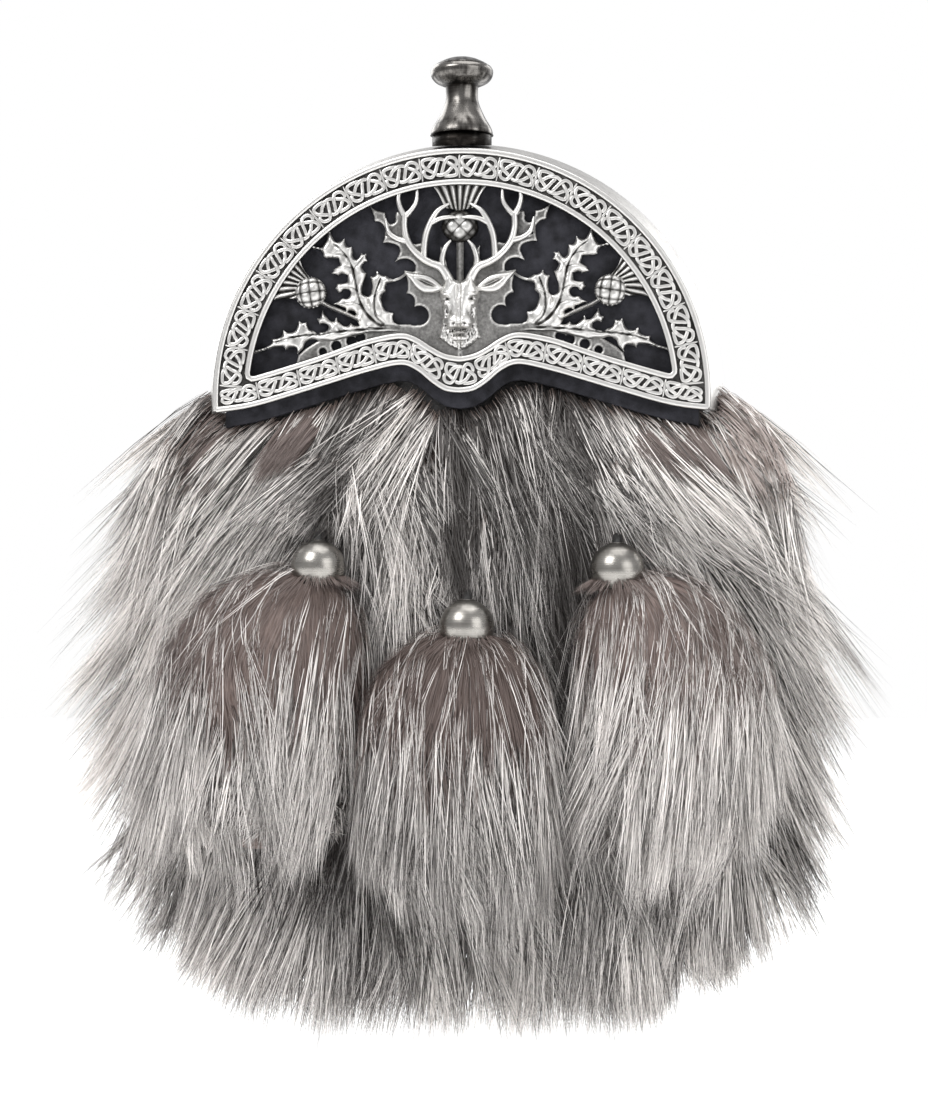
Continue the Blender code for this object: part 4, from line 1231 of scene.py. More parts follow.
def make_pewter(name, dark, bright, rough_dark, rough_bright):
    material, tree, shader = new_material(name, Metallic=1.0)
    place = place_on_piece(tree)
    grain = noise_at(tree, place, 1100.0, 3.0)
    stain = noise_at(tree, place, 150.0)
    worn = (relief_of(tree) + 0.30 * (grain - 0.5) + 0.32 * (stain - 0.5)).between(0.10, 0.85)
    feed(tree, shader["Base Color"], mixed(worn, dark, bright))
    feed(tree, shader["Roughness"], rough_dark + (rough_bright - rough_dark) * worn)
    bumped(tree, shader, grain, 0.3, 0.10 * MM)
    return material


pewter = make_pewter("antique_pewter", (0.026, 0.024, 0.022), (0.66, 0.65, 0.63), 0.60, 0.38)
print("pewter is ready")

# %% Paths
def smooth_path(rows, steps, closed=False):
    """Curve through rows of numbers, with `steps` points from each row to the next."""
    rows = np.asarray(rows, dtype=float)
    if closed:
        around = np.vstack([rows[-1:], rows, rows[:2]])
    else:
        around = np.vstack([2.0 * rows[0] - rows[1], rows, 2.0 * rows[-1] - rows[-2]])
    t = np.linspace(0.0, 1.0, steps, endpoint=False)[:, None]
    parts = []
    for a, b, c, d in zip(around, around[1:], around[2:], around[3:]):
        parts.append(0.5 * (2.0 * b + (c - a) * t + (2.0 * a - 5.0 * b + 4.0 * c - d) * t ** 2
                            + (3.0 * b - a - 3.0 * c + d) * t ** 3))
    curve = np.vstack(parts)
    return curve if closed else np.vstack([curve, rows[-1:]])


def evenly(loop, gap):
    """Points at equal distances along a closed loop."""
    ring = np.vstack([loop, loop[:1]])
    run = np.concatenate([[0.0], np.cumsum(np.linalg.norm(np.diff(ring, axis=0), axis=1))])
    at = np.linspace(0.0, run[-1], int(round(run[-1] / gap)), endpoint=False)
    return np.column_stack([np.interp(at, run, ring[:, k]) for k in range(2)])


def beside(loop, distance):
    """Loop shifted sideways, inwards for a counterclockwise loop and a positive distance."""
    along = np.roll(loop, -1, axis=0) - np.roll(loop, 1, axis=0)
    along /= np.linalg.norm(along, axis=1, keepdims=True)
    return loop + distance * np.column_stack([-along[:, 1], along[:, 0]])


def eased(loop, rounds):
    """Loop with its corners rounded a little."""
    for _ in range(rounds):
        loop = 0.25 * np.roll(loop, 1, axis=0) + 0.5 * loop + 0.25 * np.roll(loop, -1, axis=0)
    return loop


print("paths can be drawn")

# %% Geometry Nodes tree for swept work
def make_sweep_tree():
    """Group that sweeps a profile along paths, which lie flat and are stood up at the end."""
    tree, paths, profile, metal = new_tree("sweep_on_paths", Paths="Geometry", Profile="Object",
                                           Metal="Material")
    spine = add(tree, "GeometryNodeMeshToCurve", {}, {"Mesh": paths})
    spine = add(tree, "GeometryNodeSetCurveNormal", {"mode": "Z_UP"}, {"Curve": spine})
    girth = add(tree, "GeometryNodeInputNamedAttribute", {"data_type": "FLOAT"}, {"Name": "girth"})
    shape = add(tree, "GeometryNodeObjectInfo", {}, {"Object": profile}, output=4)
    section = add(tree, "GeometryNodeMeshToCurve", {}, {"Mesh": shape})
    swept = add(tree, "GeometryNodeCurveToMesh", {},
                {"Curve": spine, "Profile Curve": section, "Scale": girth, "Fill Caps": True})
    upright = add(tree, "GeometryNodeTransform", {},
                  {"Geometry": swept, "Rotation": (math.radians(90.0), 0.0, 0.0)})
    return end_tree(tree, upright, metal)


def make_profile(name, rows):
    """Closed section: rows of height, place across and relief."""
    rows = np.array(rows, dtype=float)
    count = len(rows)
    mesh = bpy.data.meshes.new(name)
    mesh.from_pydata([(across * MM, -high * MM, 0.0) for high, across, _ in rows],
                     [(k, (k + 1) % count) for k in range(count)], [])
    store(mesh, "relief", rows[:, 2])
    return bpy.data.objects.new(name, mesh)


def cast(piece):
    """Finish a metal piece: faces outward, sharp only where it turns a corner."""
    bm = bmesh.new()
    bm.from_mesh(piece.data)
    bmesh.ops.recalc_face_normals(bm, faces=bm.faces)
    bm.to_mesh(piece.data)
    bm.free()
    piece.data.shade_smooth()
    piece.data.set_sharp_from_angle(angle=math.radians(46.0))
    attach(piece, "root")
    print(piece.name, triangles_of(piece), "triangles")
    return piece


def sweep(name, paths, profile, material):
    """Paths of (x, z, height in front of the picture plane, girth) rows in mm, swept and cast.

    Each path is (rows, closed).
    """
    points, edges, girths = [], [], []
    for rows, closed in paths:
        start = len(points)
        points += [(x * MM, z * MM, high * MM) for x, z, high, _ in rows]
        girths += [row[3] for row in rows]
        last = len(points) - 1
        edges += [(k, k + 1) for k in range(start, last)]
        if closed:
            edges.append((last, start))
    mesh = bpy.data.meshes.new(name)
    mesh.from_pydata(points, edges, [])
    store(mesh, "girth", girths)
    piece = node_result(name, mesh, sweep_tree, {"Profile": profile, "Metal": material})
    if "girth" in piece.data.attributes:
        piece.data.attributes.remove(piece.data.attributes["girth"])
    return cast(piece)


sweep_tree = make_sweep_tree()
RIM_SECTION = make_profile("rim_section", (
    (-0.6, -0.90, 0.0), (0.40, -0.90, 0.15), (0.72, -0.74, 0.75), (0.86, -0.40, 1.0), (0.90, 0.0, 1.0),
    (0.86, 0.40, 1.0), (0.72, 0.74, 0.75), (0.40, 0.90, 0.15), (-0.6, 0.90, 0.0)))
RIBBON_SECTION = make_profile("ribbon_section", (
    (-0.35, -0.46, 0.0), (0.10, -0.50, 0.10), (0.40, -0.36, 0.80), (0.52, 0.0, 1.0),
    (0.40, 0.36, 0.80), (0.10, 0.50, 0.10), (-0.35, 0.46, 0.0)))
ROD_SECTION = make_profile("rod_section", [
    (0.5 * math.sin(a), 0.5 * math.cos(a), float(unit(0.35 + 0.8 * math.sin(a))))
    for a in np.linspace(0.0, math.tau, 10, endpoint=False)])
print("sweep tree:", len(sweep_tree.nodes), "nodes")

# %% [markdown]
# ## Cantle: band, rims and side wall
#
# The half-moon's outline is the arch and the dipped lower edge, measured off the object. Both
# rims run all round and are swept with a flat-topped section; the ground between them is a thin
# plate, pricked all over so that it stays dark.

# %% Outline of the half-moon, in millimetres
ARCH_CENTRE_Z = -20.5
ARCH_RADIUS = 75.3
WINDOW_RADIUS = 64.2
RIM_WIDTH = 1.8
FIELD_HEIGHT = 35.0                      # heights are distances in front of the strap's plane
PLATE_BACK = 32.4
WALL_REAR = 18.0
WALL_FLARE = 4.2
WALL_THICK = 1.8


def half_moon(column, radius):
    """Counterclockwise loop: lower edge from left to right, then the arch back to the left."""
    right = smooth_path(EDGES[:, (0, column)], 6)
    centre = np.array((0.0, ARCH_CENTRE_Z))
    right = right[np.linalg.norm(right - centre, axis=1) < radius]
    start = math.atan2(right[-1, 1] - ARCH_CENTRE_Z, right[-1, 0])
    angles = np.linspace(start, math.pi - start, 140)
    arch = np.column_stack([radius * np.cos(angles), ARCH_CENTRE_Z + radius * np.sin(angles)])
    left = right[:0:-1] * (-1.0, 1.0)
    return eased(evenly(np.vstack([left, right, arch]), 0.8), 1)


def plate(name, loops, front, back, relief_value, material):
    """Flat closed plate between two heights, with the first loop outside and the others as holes."""
    bm = bmesh.new()
    for loop in loops:
        rings = [[bm.verts.new((x * MM, -high * MM, z * MM)) for x, z in loop] for high in (front, back)]
        for k in range(len(loop)):
            n = (k + 1) % len(loop)
            bm.faces.new((rings[0][k], rings[0][n], rings[1][n], rings[1][k]))
    for high in (front, back):
        rim = [e for e in bm.edges if all(abs(v.co.y + high * MM) < 1e-7 for v in e.verts)]
        bmesh.ops.triangle_fill(bm, use_beauty=True, use_dissolve=False, edges=rim)
    mesh = mesh_of(name, bm, material)
    store_relief(mesh, relief_value)
    return linked(name, mesh)


def make_side_wall():
    """Wall round the arch that opens outward to the rear."""
    start = math.asin((EDGES[-1, 1] + 0.5 - ARCH_CENTRE_Z) / ARCH_RADIUS)
    rear = ARCH_RADIUS + WALL_FLARE
    section = ((ARCH_RADIUS - 0.3, FIELD_HEIGHT + 0.3), (ARCH_RADIUS + 0.1, FIELD_HEIGHT - 0.6),
               (rear - 0.2, WALL_REAR + 0.4), (rear - 0.5, WALL_REAR),
               (rear - WALL_THICK, WALL_REAR), (ARCH_RADIUS - WALL_THICK, FIELD_HEIGHT - 0.6))
    bm = bmesh.new()
    rings = []
    for angle in np.linspace(start, math.pi - start, 120):
        x, z = math.cos(angle) * MM, math.sin(angle) * MM
        rings.append([bm.verts.new((r * x, -high * MM, ARCH_CENTRE_Z * MM + r * z)) for r, high in section])
    for one, two in zip(rings, rings[1:]):
        for k in range(len(section)):
            n = (k + 1) % len(section)
            bm.faces.new((one[k], one[n], two[n], two[k]))
    bm.faces.new(rings[0])
    bm.faces.new(rings[-1])
    mesh = mesh_of("cantle_side_wall", bm, pewter)
    store_relief(mesh, 0.62)
    return cast(linked("cantle_side_wall", mesh))


outer_loop = half_moon(1, ARCH_RADIUS)
window_loop = half_moon(2, WINDOW_RADIUS)
ground = make_pewter("pricked_ground", (0.016, 0.015, 0.014), (0.34, 0.33, 0.32), 0.65, 0.48)
field = cast(plate("cantle_field", (beside(outer_loop, 0.4), beside(window_loop, -0.4)),
                   FIELD_HEIGHT, PLATE_BACK, 0.30, ground))
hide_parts("cantle")
sweep("cantle_rims", [
    (np.column_stack([loop, np.full(len(loop), FIELD_HEIGHT), np.ones(len(loop))]), True)
    for loop in (beside(outer_loop, 0.9), beside(window_loop, -0.9))], RIM_SECTION, pewter)
make_side_wall()

# %% [markdown]
# ## Cantle: knotwork
#
# One closed ribbon fills each panel of the band. Its fifteen points are drawn once in a unit
# square; the other half is the same turned round. Where the ribbon meets itself it goes over and
# under in turn, so the crossings are found first and the height then rises and dips along the
# ribbon. The panels are bent to the arch and to the lower edge, with a thin bar between them.

# %% Ribbon of one panel
KNOT = np.array((
    (0.33, 0.94), (0.08, 0.93), (0.02, 0.80), (0.07, 0.55), (0.33, 0.24), (0.45, 0.12), (0.59, 0.13),
    (0.73, 0.26), (0.82, 0.42), (0.97, 0.62), (0.93, 0.86), (0.77, 0.94), (0.66, 0.76), (0.58, 0.42),
    (0.54, 0.20),
))
PANEL_WIDE, PANEL_TALL = 10.4, 6.7
OVER = 0.26


def crossings(loop):
    """Places along a closed loop, as index and part, where it meets itself, in order."""
    count = len(loop)
    found = []
    for i in range(count):
        a, b = loop[i], loop[(i + 1) % count]
        for j in range(i + 2, count):
            if (j + 1) % count == i:
                continue
            c, d = loop[j], loop[(j + 1) % count]
            size = (b[0] - a[0]) * (d[1] - c[1]) - (b[1] - a[1]) * (d[0] - c[0])
            if abs(size) < 1e-9:
                continue
            s = ((c[0] - a[0]) * (d[1] - c[1]) - (c[1] - a[1]) * (d[0] - c[0])) / size
            t = ((c[0] - a[0]) * (b[1] - a[1]) - (c[1] - a[1]) * (b[0] - a[0])) / size
            if 0.0 <= s < 1.0 and 0.0 <= t < 1.0:
                found += [i + s, j + t]
    return sorted(found)


def knot_ribbon():
    """Rows of u, v and height for one panel's ribbon."""
    loop = smooth_path(np.vstack([KNOT, 1.0 - KNOT]), 3, closed=True)
    size = np.array((PANEL_WIDE, PANEL_TALL))
    meets = crossings(loop * size)
    run = np.arange(len(loop), dtype=float)
    height = np.zeros(len(loop))
    for order, at in enumerate(meets):
        gap = np.abs(run - at)
        gap = np.minimum(gap, len(loop) - gap)
        height += (OVER if order % 2 == 0 else -OVER) * np.exp(-(gap / 1.6) ** 2)
    print("ribbon:", len(loop), "points,", len(meets) // 2, "crossings")
    return np.column_stack([loop, height])


ribbon = knot_ribbon()

# %% Panels on the arch and along the lower edge
ARCH_PANELS = 18
ARCH_START = math.radians(3.3)
LOWER_STOPS = (-73.2, -61.5, -48.9, -37.0, -25.8, -14.6, -5.0, 5.0, 14.6, 25.8, 37.0, 48.9, 61.5, 73.2)
BAR_FREE = (6, 7)                        # stops inside the long interlace over the dip


def on_arch(u, v, panel):
    """Place on the arch's band: u clockwise along the panel, v outward."""
    step = (math.pi - 2.0 * ARCH_START) / ARCH_PANELS
    angle = math.pi - ARCH_START - step * (panel + u)
    radius = WINDOW_RADIUS + RIM_WIDTH + 0.25 + v * (ARCH_RADIUS - WINDOW_RADIUS - 2.0 * RIM_WIDTH - 0.5)
    return np.column_stack([radius * np.cos(angle), ARCH_CENTRE_Z + radius * np.sin(angle)])


def on_lower_band(u, v, start, end):
    """Place on the lower band: u to the right between two stops, v up."""
    x = start + (end - start) * u
    lower, upper = (smooth_path(EDGES[:, (0, k)], 6).T for k in (1, 2))
    low, high = np.interp(np.abs(x), *lower), np.interp(np.abs(x), *upper)
    slope = np.interp(np.abs(x) + 0.5, *lower) - np.interp(np.abs(np.abs(x) - 0.5), *lower)
    slope *= np.sign(x)
    lean = np.hypot(1.0, slope)
    low, high = low + (RIM_WIDTH + 0.25) * lean, high - (RIM_WIDTH + 0.25) * lean
    z = low + (high - low) * v
    middle = 0.5 * (low + high)
    return np.column_stack([x - (z - middle) * slope / lean ** 2 * 0.8, z])


def panel_paths():
    """Ribbons of all the panels and the bars between them."""
    knots, bars = [], []
    u, v = 0.045 + 0.91 * ribbon[:, 0], 0.05 + 0.90 * ribbon[:, 1]
    rise = np.linspace(0.0, 1.0, 7)
    girth = 0.40 + 0.55 * np.sin(math.pi * rise)
    across = np.zeros(len(rise))
    places = [(on_arch(u, v, panel), on_arch(across, rise, panel)) for panel in range(ARCH_PANELS)]
    places.append((None, on_arch(across, rise, ARCH_PANELS)))
    for k, (start, end) in enumerate(zip(LOWER_STOPS, LOWER_STOPS[1:])):
        bar = None if k == 0 or k in BAR_FREE else on_lower_band(across, rise, start, end)
        places.append((on_lower_band(u, v, start, end), bar))
    for knot, bar in places:
        if knot is not None:
            knots.append((np.column_stack([knot, FIELD_HEIGHT + 0.18 + ribbon[:, 2],
                                           np.full(len(ribbon), 1.30)]), True))
        if bar is not None:
            bars.append((np.column_stack([bar, np.full(len(bar), FIELD_HEIGHT + 0.05), girth]), False))
    return knots, bars


knot_paths, bar_paths = panel_paths()
sweep("cantle_knots", knot_paths, RIBBON_SECTION, pewter)
sweep("cantle_bars", bar_paths, RIBBON_SECTION, pewter)

# %% [markdown]
# ## Cantle: reliefs
#
# The openwork in the window is a relief: seen from the front it has an outline with round bites
# and sharp cusps, and its surface is rounded towards every edge. So the shape is written as a
# depth: how far inside the outline a point is, in millimetres, negative outside. Shapes then join
# and cut each other by taking the larger or the smaller depth, and the rounding of the edge, the
# grooves and the patina all come from the same number. The mesh is a fine grid cut off along the
# outline. The ornament was measured in two enlarged views of the left half, one of the side and
# one of the middle, and it is mirrored.

# %% Depths of shapes
SIDE_VIEW = (0.040339, -76.655, 36.144)  # mm in a step of the view, and x and z of its upper left corner
MIDDLE_VIEW = (0.048023, -39.005, 48.192)


def from_view(view, rows):
    """Millimetres from rows of steps to the right, steps down, and widths or bites."""
    step, x, z = view
    rows = np.array(rows, dtype=float)
    return np.column_stack([x + rows[:, 0] * step, z - rows[:, 1] * step, rows[:, 2:] * step])


def on_side(rows):
    return from_view(SIDE_VIEW, rows)


def on_middle(rows):
    return from_view(MIDDLE_VIEW, rows)


def scalloped(rows):
    """Clockwise outline from rows of x, z and how far the side to the next row bites inwards."""
    outline = []
    for (x, z, bite), (x2, z2, _) in zip(rows, np.roll(rows, -1, axis=0)):
        along = np.array((x2 - x, z2 - z))
        inward = np.array((along[1], -along[0])) / max(np.linalg.norm(along), 1e-9)
        count = 1 if bite == 0.0 else 7
        for t in np.arange(count) / count:
            outline.append(np.array((x, z)) + along * t + inward * bite * 4.0 * t * (1.0 - t))
    return np.array(outline)


def to_outline(points, outline):
    """Depth inside a polygon."""
    inside = np.zeros(len(points), dtype=bool)
    best = np.full(len(points), 1e9)
    px, pz = points.T
    for (ax, az), (bx, bz) in zip(outline, np.roll(outline, -1, axis=0)):
        dx, dz = bx - ax, bz - az
        t = unit(((px - ax) * dx + (pz - az) * dz) / max(dx * dx + dz * dz, 1e-12))
        best = np.minimum(best, np.hypot(px - ax - t * dx, pz - az - t * dz))
        crosses = (az > pz) != (bz > pz)
        with np.errstate(divide="ignore", invalid="ignore"):
            inside ^= crosses & (px < ax + (pz - az) * dx / (dz if dz else 1e-12))
    return np.where(inside, best, -best)


def to_stroke(points, rows):
    """Depth inside a stroke of changing width, from rows of x, z and width."""
    best = np.full(len(points), -1e9)
    for (ax, az, aw), (bx, bz, bw) in zip(rows, rows[1:]):
        dx, dz = bx - ax, bz - az
        t = unit(((points[:, 0] - ax) * dx + (points[:, 1] - az) * dz) / (dx * dx + dz * dz))
        gap = np.hypot(points[:, 0] - ax - t * dx, points[:, 1] - az - t * dz)
        best = np.maximum(best, (aw + (bw - aw) * t) / 2.0 - gap)
    return best


def to_discs(points, rows):
    """Depth inside discs, from rows of x, z and radius."""
    gap = np.hypot(points[:, None, 0] - rows[None, :, 0], points[:, None, 1] - rows[None, :, 1])
    return np.max(rows[None, :, 2] - gap, axis=1)


def groove(depth, width):
    """1 in the middle of a stroke's line, 0 away from it."""
    return np.exp(-(np.minimum(depth, 0.0) / width) ** 2)


print("depths can be taken inside shapes")

# %% Grid cut along the outline
SHALLOWEST = 0.02                        # a corner's least depth, so that no cut falls on a corner


def square_grid(box, spacing):
    """Points of a grid, row by row, and how many rows and columns it has."""
    low_x, low_z, high_x, high_z = box
    columns, rows = int((high_x - low_x) / spacing) + 1, int((high_z - low_z) / spacing) + 1
    grid_x, grid_z = np.meshgrid(low_x + spacing * np.arange(columns), low_z + spacing * np.arange(rows))
    return np.column_stack([grid_x.ravel(), grid_z.ravel()]), rows, columns


def cut_grid(depth_of, box, spacing):
    """Places and faces of a grid inside the outline; the cells that it crosses are cut along it."""
    grid, rows, columns = square_grid(box, spacing)
    depth = depth_of(grid)
    least = np.where(depth < 0.0, -SHALLOWEST, SHALLOWEST)
    depth = np.where(np.abs(depth) < SHALLOWEST, least, depth)
    places, number = [], {}

    def corner(k):
        if k not in number:
            number[k] = len(places)
            places.append(grid[k])
        return number[k]

    def cut(a, b):
        key = (min(a, b), max(a, b))
        if key not in number:
            t = depth[key[0]] / (depth[key[0]] - depth[key[1]])
            number[key] = len(places)
            places.append(grid[key[0]] + (grid[key[1]] - grid[key[0]]) * t)
        return number[key]

    inner = depth.reshape(rows, columns) > 0.0
    wanted = inner[:-1, :-1] | inner[1:, :-1] | inner[:-1, 1:] | inner[1:, 1:]
    faces = []
    for row, column in zip(*np.nonzero(wanted)):
        first = row * columns + column
        ring = (first, first + 1, first + columns + 1, first + columns)
        face = []
        for a, b in zip(ring, ring[1:] + ring[:1]):
            if depth[a] > 0.0:
                face.append(corner(a))
            if (depth[a] > 0.0) != (depth[b] > 0.0):
                face.append(cut(a, b))
        if len(face) > 2:
            faces.append(face)
    return np.array(places), faces


print("a grid can be cut along an outline")

# %% From an outline to a closed mesh
def close_behind(bm, layer):
    """Walls from the open edge straight back to the plate's rear, and a flat face there."""
    rim = [edge for edge in bm.edges if len(edge.link_faces) == 1]
    made = bmesh.ops.extrude_edge_only(bm, edges=rim)["geom"]
    behind = {item for item in made if isinstance(item, bmesh.types.BMVert)}
    for vert in behind:
        vert.co.y = -PLATE_BACK * MM
        vert[layer] = 0.0
    loop = [item for item in made if isinstance(item, bmesh.types.BMEdge) and behind.issuperset(item.verts)]
    bmesh.ops.triangle_fill(bm, use_beauty=True, use_dissolve=False, edges=loop)


def relief(name, depth_of, surface_of, box, spacing):
    """Closed cast piece: where depth_of is positive, at the height that surface_of gives."""
    places, faces = cut_grid(depth_of, box, spacing)
    height, worn = surface_of(places, np.maximum(depth_of(places), 0.0))
    bm = bmesh.new()
    layer = bm.verts.layers.float.new("relief")
    verts = [bm.verts.new((x * MM, -h * MM, z * MM)) for (x, z), h in zip(places, height)]
    for vert, value in zip(verts, worn):
        vert[layer] = float(unit(value))
    for face in faces:
        bm.faces.new([verts[k] for k in face])
    close_behind(bm, layer)
    return cast(linked(name, mesh_of(name, bm, pewter)))


def left_half(points):
    return np.column_stack([-np.abs(points[:, 0]), points[:, 1]])


def across_seam(depth, points, half_wide, low, high, least):
    """Depth held up to a least one along the middle, so that mirrored halves become one piece."""
    seam = (np.abs(points[:, 0]) < half_wide) & (points[:, 1] > low) & (points[:, 1] < high)
    return np.where(seam, np.maximum(depth, least), depth)


# %% Thistle leaves
UPPER_LEAF = on_side((
    (897, 118, 0), (918, 132, 4), (962, 225, 10), (1032, 197, 8), (1052, 262, 5), (1090, 257, 3),
    (1092, 300, 14), (1122, 362, 10), (1160, 292, 4), (1172, 322, 6), (1216, 293, 6), (1192, 336, 4),
    (1212, 376, 10), (1166, 395, 8), (1170, 432, 6), (1197, 460, 0), (1175, 520, 6), (1163, 590, 6),
    (1172, 625, 0), (1205, 640, 0), (1215, 700, 0), (1300, 780, 0), (1456, 860, 0), (1480, 900, 0),
    (1200, 900, 0), (1140, 850, 0), (1110, 785, 0), (1118, 762, 16), (1045, 750, 12), (1010, 712, 4),
    (946, 690, 5), (1006, 652, 0), (1070, 640, 0), (1070, 600, 0), (1000, 602, 0), (985, 605, 4),
    (958, 573, 4), (975, 540, 3), (1050, 530, 0), (1055, 470, 0), (988, 478, 3), (925, 462, 6),
    (950, 430, 0), (1000, 400, 0), (985, 345, 0), (888, 345, 4), (872, 337, 6), (852, 288, 6),
    (790, 272, 3), (762, 240, 4), (800, 250, 6), (862, 262, 20)))
INNER_LEAF = on_side((
    (1205, 640, 0), (1222, 632, 6), (1238, 590, 3), (1238, 530, 0), (1228, 488, 5), (1268, 478, 0),
    (1280, 437, 6), (1300, 472, 6), (1345, 482, 6), (1400, 508, 8), (1492, 456, 0), (1498, 474, -8),
    (1400, 526, 0), (1350, 540, 4), (1340, 565, 4), (1345, 598, 22), (1312, 684, 26), (1402, 760, 22),
    (1432, 860, 0), (1456, 885, 0), (1300, 870, 0), (1215, 780, 0)))
LOWER_LEAF = on_side((
    (330, 1040, 0), (420, 1018, 3), (485, 978, 0), (478, 948, 10), (560, 925, 0), (570, 882, 8),
    (612, 905, 14), (672, 862, 0), (690, 810, 4), (712, 832, 0), (745, 825, 22), (800, 892, 20),
    (885, 900, 12), (908, 850, 10), (842, 842, 0), (822, 795, 5), (850, 792, 0), (866, 733, 6),
    (895, 785, 14), (955, 822, 0), (970, 788, 8), (1000, 835, 12), (1062, 855, 0), (1080, 832, 8),
    (1125, 856, 0), (1250, 850, 0), (1500, 862, 0), (1500, 900, 0), (1200, 910, 0), (1120, 928, 0),
    (1040, 948, 0), (940, 968, 0), (832, 964, 22), (728, 985, 0), (715, 1020, 0), (672, 1066, 10),
    (655, 1012, 8), (582, 1034, 8), (555, 1008, 8), (455, 1026, 4), (425, 1035, 3), (345, 1062, 0),
    (328, 1060, 0)))
LEAF_BITES = on_side(((1040, 614, 38), (1014, 500, 37), (925, 390, 47)))
MIDRIBS = [smooth_path(on_side(rows), 5) for rows in (
    ((1440, 868, 18), (1300, 850, 16), (1215, 785, 14), (1160, 700, 12), (1130, 600, 11), (1108, 490, 10),
     (1092, 420, 9), (1055, 345, 8), (1005, 285, 6), (950, 240, 3)),
    ((1330, 845, 10), (1275, 790, 9), (1257, 710, 8), (1265, 620, 7), (1290, 545, 5), (1305, 505, 2)),
    ((1440, 880, 14), (1200, 884, 12), (1000, 900, 10), (800, 918, 9), (640, 940, 7), (500, 975, 3)),
)]
VEINS = [smooth_path(on_side(rows), 3) for rows in (
    ((1100, 430, 4), (1050, 415, 3), (985, 425, 1)), ((1130, 600, 4), (1090, 572, 3), (1000, 572, 1)),
    ((1165, 705, 4), (1090, 682, 3), (990, 690, 1)), ((1105, 430, 4), (1140, 385, 3), (1175, 340, 1)),
    ((1050, 340, 3), (1000, 318, 2), (920, 330, 1)), ((1258, 640, 3), (1290, 612, 2), (1330, 600, 1)),
    ((1000, 900, 4), (960, 850, 3), (880, 800, 1)), ((820, 915, 4), (760, 880, 3), (700, 840, 1)),
    ((800, 918, 3), (730, 960, 3), (690, 1030, 1)), ((640, 940, 3), (600, 925, 2), (575, 900, 1)),
)]
SIDE_STEM = smooth_path(on_side(((850, 672, 30), (930, 715, 30), (1040, 762, 30), (1150, 812, 26))), 4)


def to_shapes(points, *shapes):
    """Depth inside whichever of several scalloped shapes a point is deepest in."""
    return np.max([to_outline(points, scalloped(rows)) for rows in shapes], axis=0)


def leaf_depth(points):
    half = left_half(points)
    depth = to_shapes(half, UPPER_LEAF, INNER_LEAF, LOWER_LEAF)
    return np.maximum(np.minimum(depth, -to_discs(half, LEAF_BITES)), to_stroke(half, SIDE_STEM))


def leaf_surface(points, depth):
    half = left_half(points)
    round_edge = 1.0 - np.exp(-depth / 0.55)
    rib = np.max([groove(to_stroke(half, rows), 0.16) for rows in MIDRIBS], axis=0)
    vein = np.max([groove(to_stroke(half, rows), 0.12) for rows in VEINS], axis=0)
    stem = unit(to_stroke(half, SIDE_STEM) / 0.6)
    rib, vein = rib * (stem == 0.0), vein * (stem == 0.0)
    swell = 0.35 * np.sin(half[:, 0] * 1.1) * np.sin(half[:, 1] * 0.9 + 1.0) * unit(depth / 1.2)
    height = 34.0 + 1.15 * round_edge + swell - 0.42 * rib - 0.20 * vein + 1.0 * np.sqrt(stem)
    rooted = unit((half[:, 0] + 17.5) / -5.0)
    worn = 0.60 + 0.34 * np.exp(-((depth - 0.35) / 0.35) ** 2) - 0.50 * rib - 0.34 * vein + 0.6 * swell
    worn += 0.12 * round_edge
    return 33.6 + (height - 33.6) * rooted, 0.35 + (worn - 0.35) * rooted


relief("thistle_leaves", leaf_depth, leaf_surface, (-66.0, -10.0, 66.0, 33.0), 0.30)

# %% Side thistles
THISTLE = on_side(((775, 605, 0),))[0, :2]
THISTLE_FOCUS = on_side(((812, 570, 0),))[0, :2]
THISTLE_RADIUS = 4.75
SIDE_FAN = on_side((
    (690, 640, 0), (640, 650, 12), (488, 660, 0), (560, 520, 0), (690, 335, 12), (758, 478, 0),
    (790, 520, 0)))
LATTICE = 3.3


def scales(along, across, radius):
    """Diamond scales of a thistle head: height of each scale and the dark line between them."""
    ring = np.clip(np.hypot(along, across) / radius, 0.0, 0.98)
    turn = np.arcsin(ring) / np.maximum(ring, 1e-3) / radius
    one, two = (along + across) * turn * LATTICE, (along - across) * turn * LATTICE
    return np.abs(np.sin(one) * np.sin(two)) ** 0.5


def side_thistle_depth(points):
    half = left_half(points)
    ball = THISTLE_RADIUS - np.hypot(*(half - THISTLE).T)
    return np.maximum(ball, to_shapes(half, SIDE_FAN))


def side_thistle_surface(points, depth):
    half = left_half(points)
    from_ball = half - THISTLE
    ring = np.hypot(*from_ball.T) / THISTLE_RADIUS
    turned = math.radians(143.0)
    along = from_ball[:, 0] * math.cos(turned) + from_ball[:, 1] * math.sin(turned)
    across = from_ball[:, 0] * -math.sin(turned) + from_ball[:, 1] * math.cos(turned)
    scale = scales(along, across, THISTLE_RADIUS)
    ball = 33.6 + 2.5 * np.sqrt(unit(1.0 - ring ** 2)) + 0.45 * scale
    way = half - THISTLE_FOCUS
    rib = 0.5 + 0.5 * np.cos(np.arctan2(way[:, 1], way[:, 0]) * 30.0)
    fan = 33.9 + 0.75 * rib + 0.35 * unit(depth / 0.5)
    on_ball = ball > np.where(ring < 1.0, fan - 0.3, 1e9)
    return np.where(on_ball, ball, fan), np.where(on_ball, 0.02 + 0.80 * scale, 0.05 + 0.80 * rib)


relief("side_thistles", side_thistle_depth, side_thistle_surface, (-60.0, 4.0, 60.0, 25.0), 0.24)

# %% Centre thistle behind the antlers
CENTRE_FAN = on_middle(((618, 70, 0), (812, 60, 0), (812, 250, 0), (712, 232, 14)))
CENTRE_FOCUS = on_middle(((812, 374, 0),))[0, :2]
CENTRE_BULB = on_middle(((812, 350, 0),))[0, :2]
BULB_RADIUS = 5.5
CENTRE_STEM = on_middle(((812, 420, 44), (812, 700, 44)))


